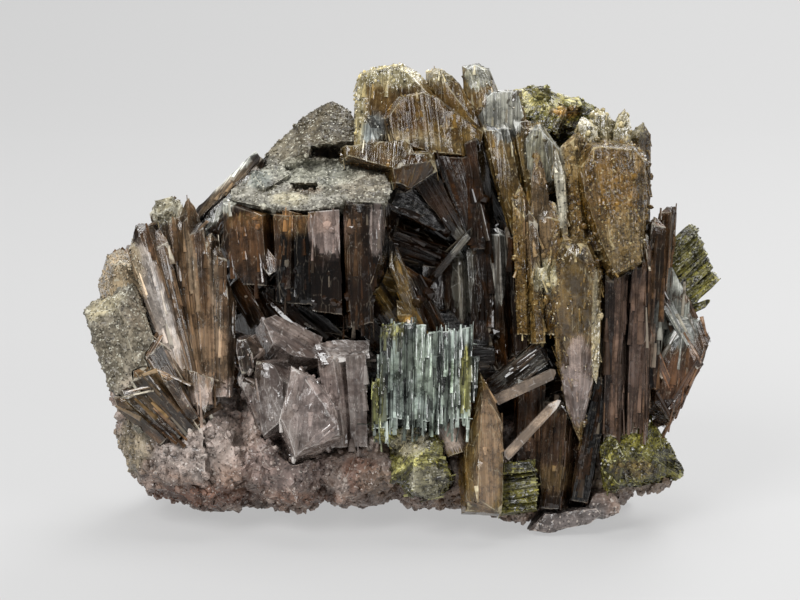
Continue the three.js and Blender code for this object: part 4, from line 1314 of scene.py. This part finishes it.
@dataclass
class LowPrisms(Piece):
    """The dark prisms in the low hollow."""

    node: str = "low_prisms"
    finish: Finish = DARK
    growths: Growths = (blades(0.14, 8.0, 1.5),)
    patches: Patches = (
        Patch(35, 18, (7, 9), "#4e3a2c", 0.6, BROWN), Patch(34, 12, (5, 3), "#6f5c3a", 0.6, BROWN),
        Patch(27, 36, (6, 4), "#4a4036", 0.7, SILVER_AND_SHEEN),
    )


@dataclass
class Lath(Piece):
    """A loose lath across the low hollow."""

    finish: Finish = LILAC_AND_SHEEN
    strip: float = 0.6
    relief: float = 0.08
    chip: float = 0.15
    patches: Patches = (
        Patch(28, 26, (14, 14), "#b39a80", 0.7),
    )


@dataclass
class Fence(Piece):
    """The steel-green striated epidote columns in the middle."""

    node: str = "epidote_fence"
    slot: str = "dark_epidote"
    finish: Finish = STEEL
    strip: float = 0.7
    relief: float = 0.24
    growths: Growths = (blades(0.6, 8.0, 1.1, 0.015), grains(1.0, 0.6, EPIDOTE))
    along: Triple = (0.0, 1.0, 0.0)
    patches: Patches = (
        Patch(-3, 44.6, (4, 1.6), "#7c7a4c", finish=EPIDOTE, grit=0.6),
        Patch(-5, 31, (1.8, 7), "#76763f", finish=EPIDOTE, grit=0.3),
        Patch(14.6, 35, (1.4, 6), "#6c6a3a", finish=EPIDOTE),
    )


@dataclass
class Epidote(Piece):
    """A yellow-green epidote piece."""

    finish: Finish = EPIDOTE
    strip: float = 0.7
    relief: float = 0.2
    facet: float = 1.3
    rough: float = 0.35
    growths: Growths = (blades(0.5, 4.0, 0.9, 0.1), grains(0.9, 0.7), chunks(0.1, 2.0))
    grit: float = 0.5


@dataclass
class Matrix(Piece):
    """The rock that carries the crystals."""

    node: str = "matrix"
    finish: Finish = ROCK
    strip: float = 0.0
    facet: float = 1.15
    rough: float = 1.5
    lump: float = 8.0
    growths: Growths = (grains(0.4, 0.7), chunks(0.12, 3.0))
    grit: float = 0.8
    patches: Patches = (
        Patch(-46, 20, (12, 8), "#9d9088", 0.8), Patch(-59, 20, (4, 9), "#8f846c", 0.8, turn=-15),
        Patch(-26, 15, (10, 6), "#7f6e68", 0.8), Patch(-35, 27, (12, 4), "#c4b2a8", 0.95),
        Patch(-44, 8, (12, 2.4), "#6e4936", 0.8), Patch(-22, 7.4, (10, 1.4), "#6a4b3b", 0.7),
        Patch(-9, 13, (4, 4), "#6e4c3a", 0.8), Patch(-4, 11, (5, 3), "#8a7360", 0.7),
        Patch(20, 8, (12, 5), "#6f5946", 0.7), Patch(50, 12, (9, 3), "#94836f", 0.8),
    )


@dataclass
class BackPiece(Piece):
    """A crystal group on the back."""

    slot: str = "dark_axinite"
    growths: Growths = (blades(0.12, 10.0, 1.7),)


def pieces() -> list[Piece]:
    """Lists every piece of the specimen, from the front to the back.

    Returns:
        The pieces, not yet built.
    """
    shelf = (
        Patch(2, 20, (4, 3.4), "#8f876d", 0.8, CRUST), Patch(6, 11, (4, 4), "#78735c", 0.8, CRUST),
        Patch(-3, 23, (3, 3), "#7d7a3c", 0.7), Patch(4, 16, (8, 1.6), "#99945a", 0.7, turn=20),
    )
    crown = (
        Patch(31, 96, (9, 3), "#8c8454", 0.8), Patch(34, 90, (8, 2), "#3f3318", 0.8),
        Patch(37, 93.4, (4, 1.2), "#96703a", 0.8),
    )
    slab = (Patch(36, 3, (12, 4), "#524c4a", 0.9),)
    corner = (Patch(55, 21, (5, 2.6), "#827c34", 0.7), Patch(52, 14, (5, 2), "#5c4a2e", 0.7))
    return [
        FinCrystal(),
        Lath(node="upper_lath"),
        Lath(node="lower_lath"),
        Piece(node="front_slab", finish=ROCK, strip=0.0, facet=1.0, rough=0.5, patches=slab),
        Fence(),
        Epidote(node="epidote_shelf", strip=0.0, rough=0.9, facet=1.0, patches=shelf),
        Epidote(node="epidote_side_bundle", grit=0.1, rough=0.0),
        Epidote(node="epidote_crown", patches=crown),
        Epidote(node="epidote_flank", grit=0.1, rough=0.1),
        Epidote(node="epidote_corner", strip=0.0, rough=0.9, facet=1.0, grit=0.7, patches=corner),
        RightCrown(),
        RightColumns(),
        LowPrisms(),
        LeftSpray(),
        CornerBlock(),
        LilacCrystals(),
        GreyCrust(),
        Plateau(),
        TopCrystals(),
        HollowCrystals(),
        BackPiece(node="back_fan", slot="brown_axinite"),
        BackPiece(node="back_right_columns"),
        BackPiece(node="back_left_columns"),
        Epidote(node="back_epidote", strip=0.0, rough=0.9, facet=1.0),
        Matrix(),
    ]


@dataclass
class Studio:
    """The pale sweep that the specimen stands on, and the soft lights. Sizes are in metres."""

    floor: float = 1.6
    wall: float = 0.9
    bend: float = 0.35
    steps: int = 16
    half_width: float = 2.4
    height: float = 2.0
    tone: str = "#6a6a6a"
    glow: float = 0.44

    def build(self) -> None:
        """Builds the sweep, the lights and the sky."""
        self._sweep()
        self._light("key", (-0.4, -0.55, 0.65), 0.45, 8.2)
        self._light("fill", (0.62, -0.6, 0.42), 0.35, 2.7)
        self._light("top", (0.05, 0.15, 0.85), 0.5, 5.2)
        self._light("back", (0.35, 0.7, 0.6), 0.45, 4.0)
        world = bpy.data.worlds.new("studio")
        world.use_nodes = True
        sky = {"Color": (0.86, 0.87, 0.88, 1), "Strength": 0.18}
        Nodes(world.node_tree).fill(world.node_tree.nodes["Background"], sky)
        bpy.context.scene.world = world
        bpy.context.scene.view_settings.view_transform = "Standard"

    def _sweep(self) -> None:
        """Builds the floor with its curved back."""
        profile = [(-self.floor, 0.0)]
        for i in range(self.steps + 1):
            angle = math.pi / 2 * i / self.steps
            across = self.wall - self.bend + self.bend * math.sin(angle)
            profile.append((across, self.bend * (1 - math.cos(angle))))
        profile.append((self.wall, self.height))
        places = [(x, y, z) for y, z in profile for x in (-self.half_width, self.half_width)]
        faces = [(2 * i, 2 * i + 1, 2 * i + 3, 2 * i + 2) for i in range(len(profile) - 1)]
        mesh = bpy.data.meshes.new("sweep")
        mesh.from_pydata(places, [], faces)
        mesh.shade_smooth()
        material = bpy.data.materials.new("sweep")
        material.use_nodes = True
        tree = material.node_tree
        look = {"Base Color": linear(self.tone), "Roughness": 0.7}
        light = {"Emission Color": (1, 1, 1, 1), "Emission Strength": self.glow}
        Nodes(tree).fill(tree.nodes["Principled BSDF"], {**look, **light})
        mesh.materials.append(material)
        sweep = put("sweep", mesh)
        sweep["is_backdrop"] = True

    def _light(self, name: str, place: Triple, size: float, power: float) -> None:
        """Adds a soft square light that faces the specimen.

        Args:
            name: the light's name.
            place: where it hangs.
            size: the length of its side.
            power: its power in watts.
        """
        data = bpy.data.lights.new(name, "AREA")
        data.size = size
        data.energy = power
        light = put(name, data)
        light.location = place
        aim = Vector((0, 0, 0.05)) - Vector(place)
        light.rotation_euler = aim.to_track_quat("-Z", "Y").to_euler()


def main() -> None:
    """Builds the specimen, piece by piece, in its studio."""
    logging.basicConfig(level=logging.INFO, format="%(name)s: %(message)s")
    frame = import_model()
    LIMITS.read(frame["nodes"])
    Effects.build()
    for piece in pieces():
        piece.build(frame["nodes"])
    Studio().build()
    FACE.camera()


if __name__ == "__main__":
    main()
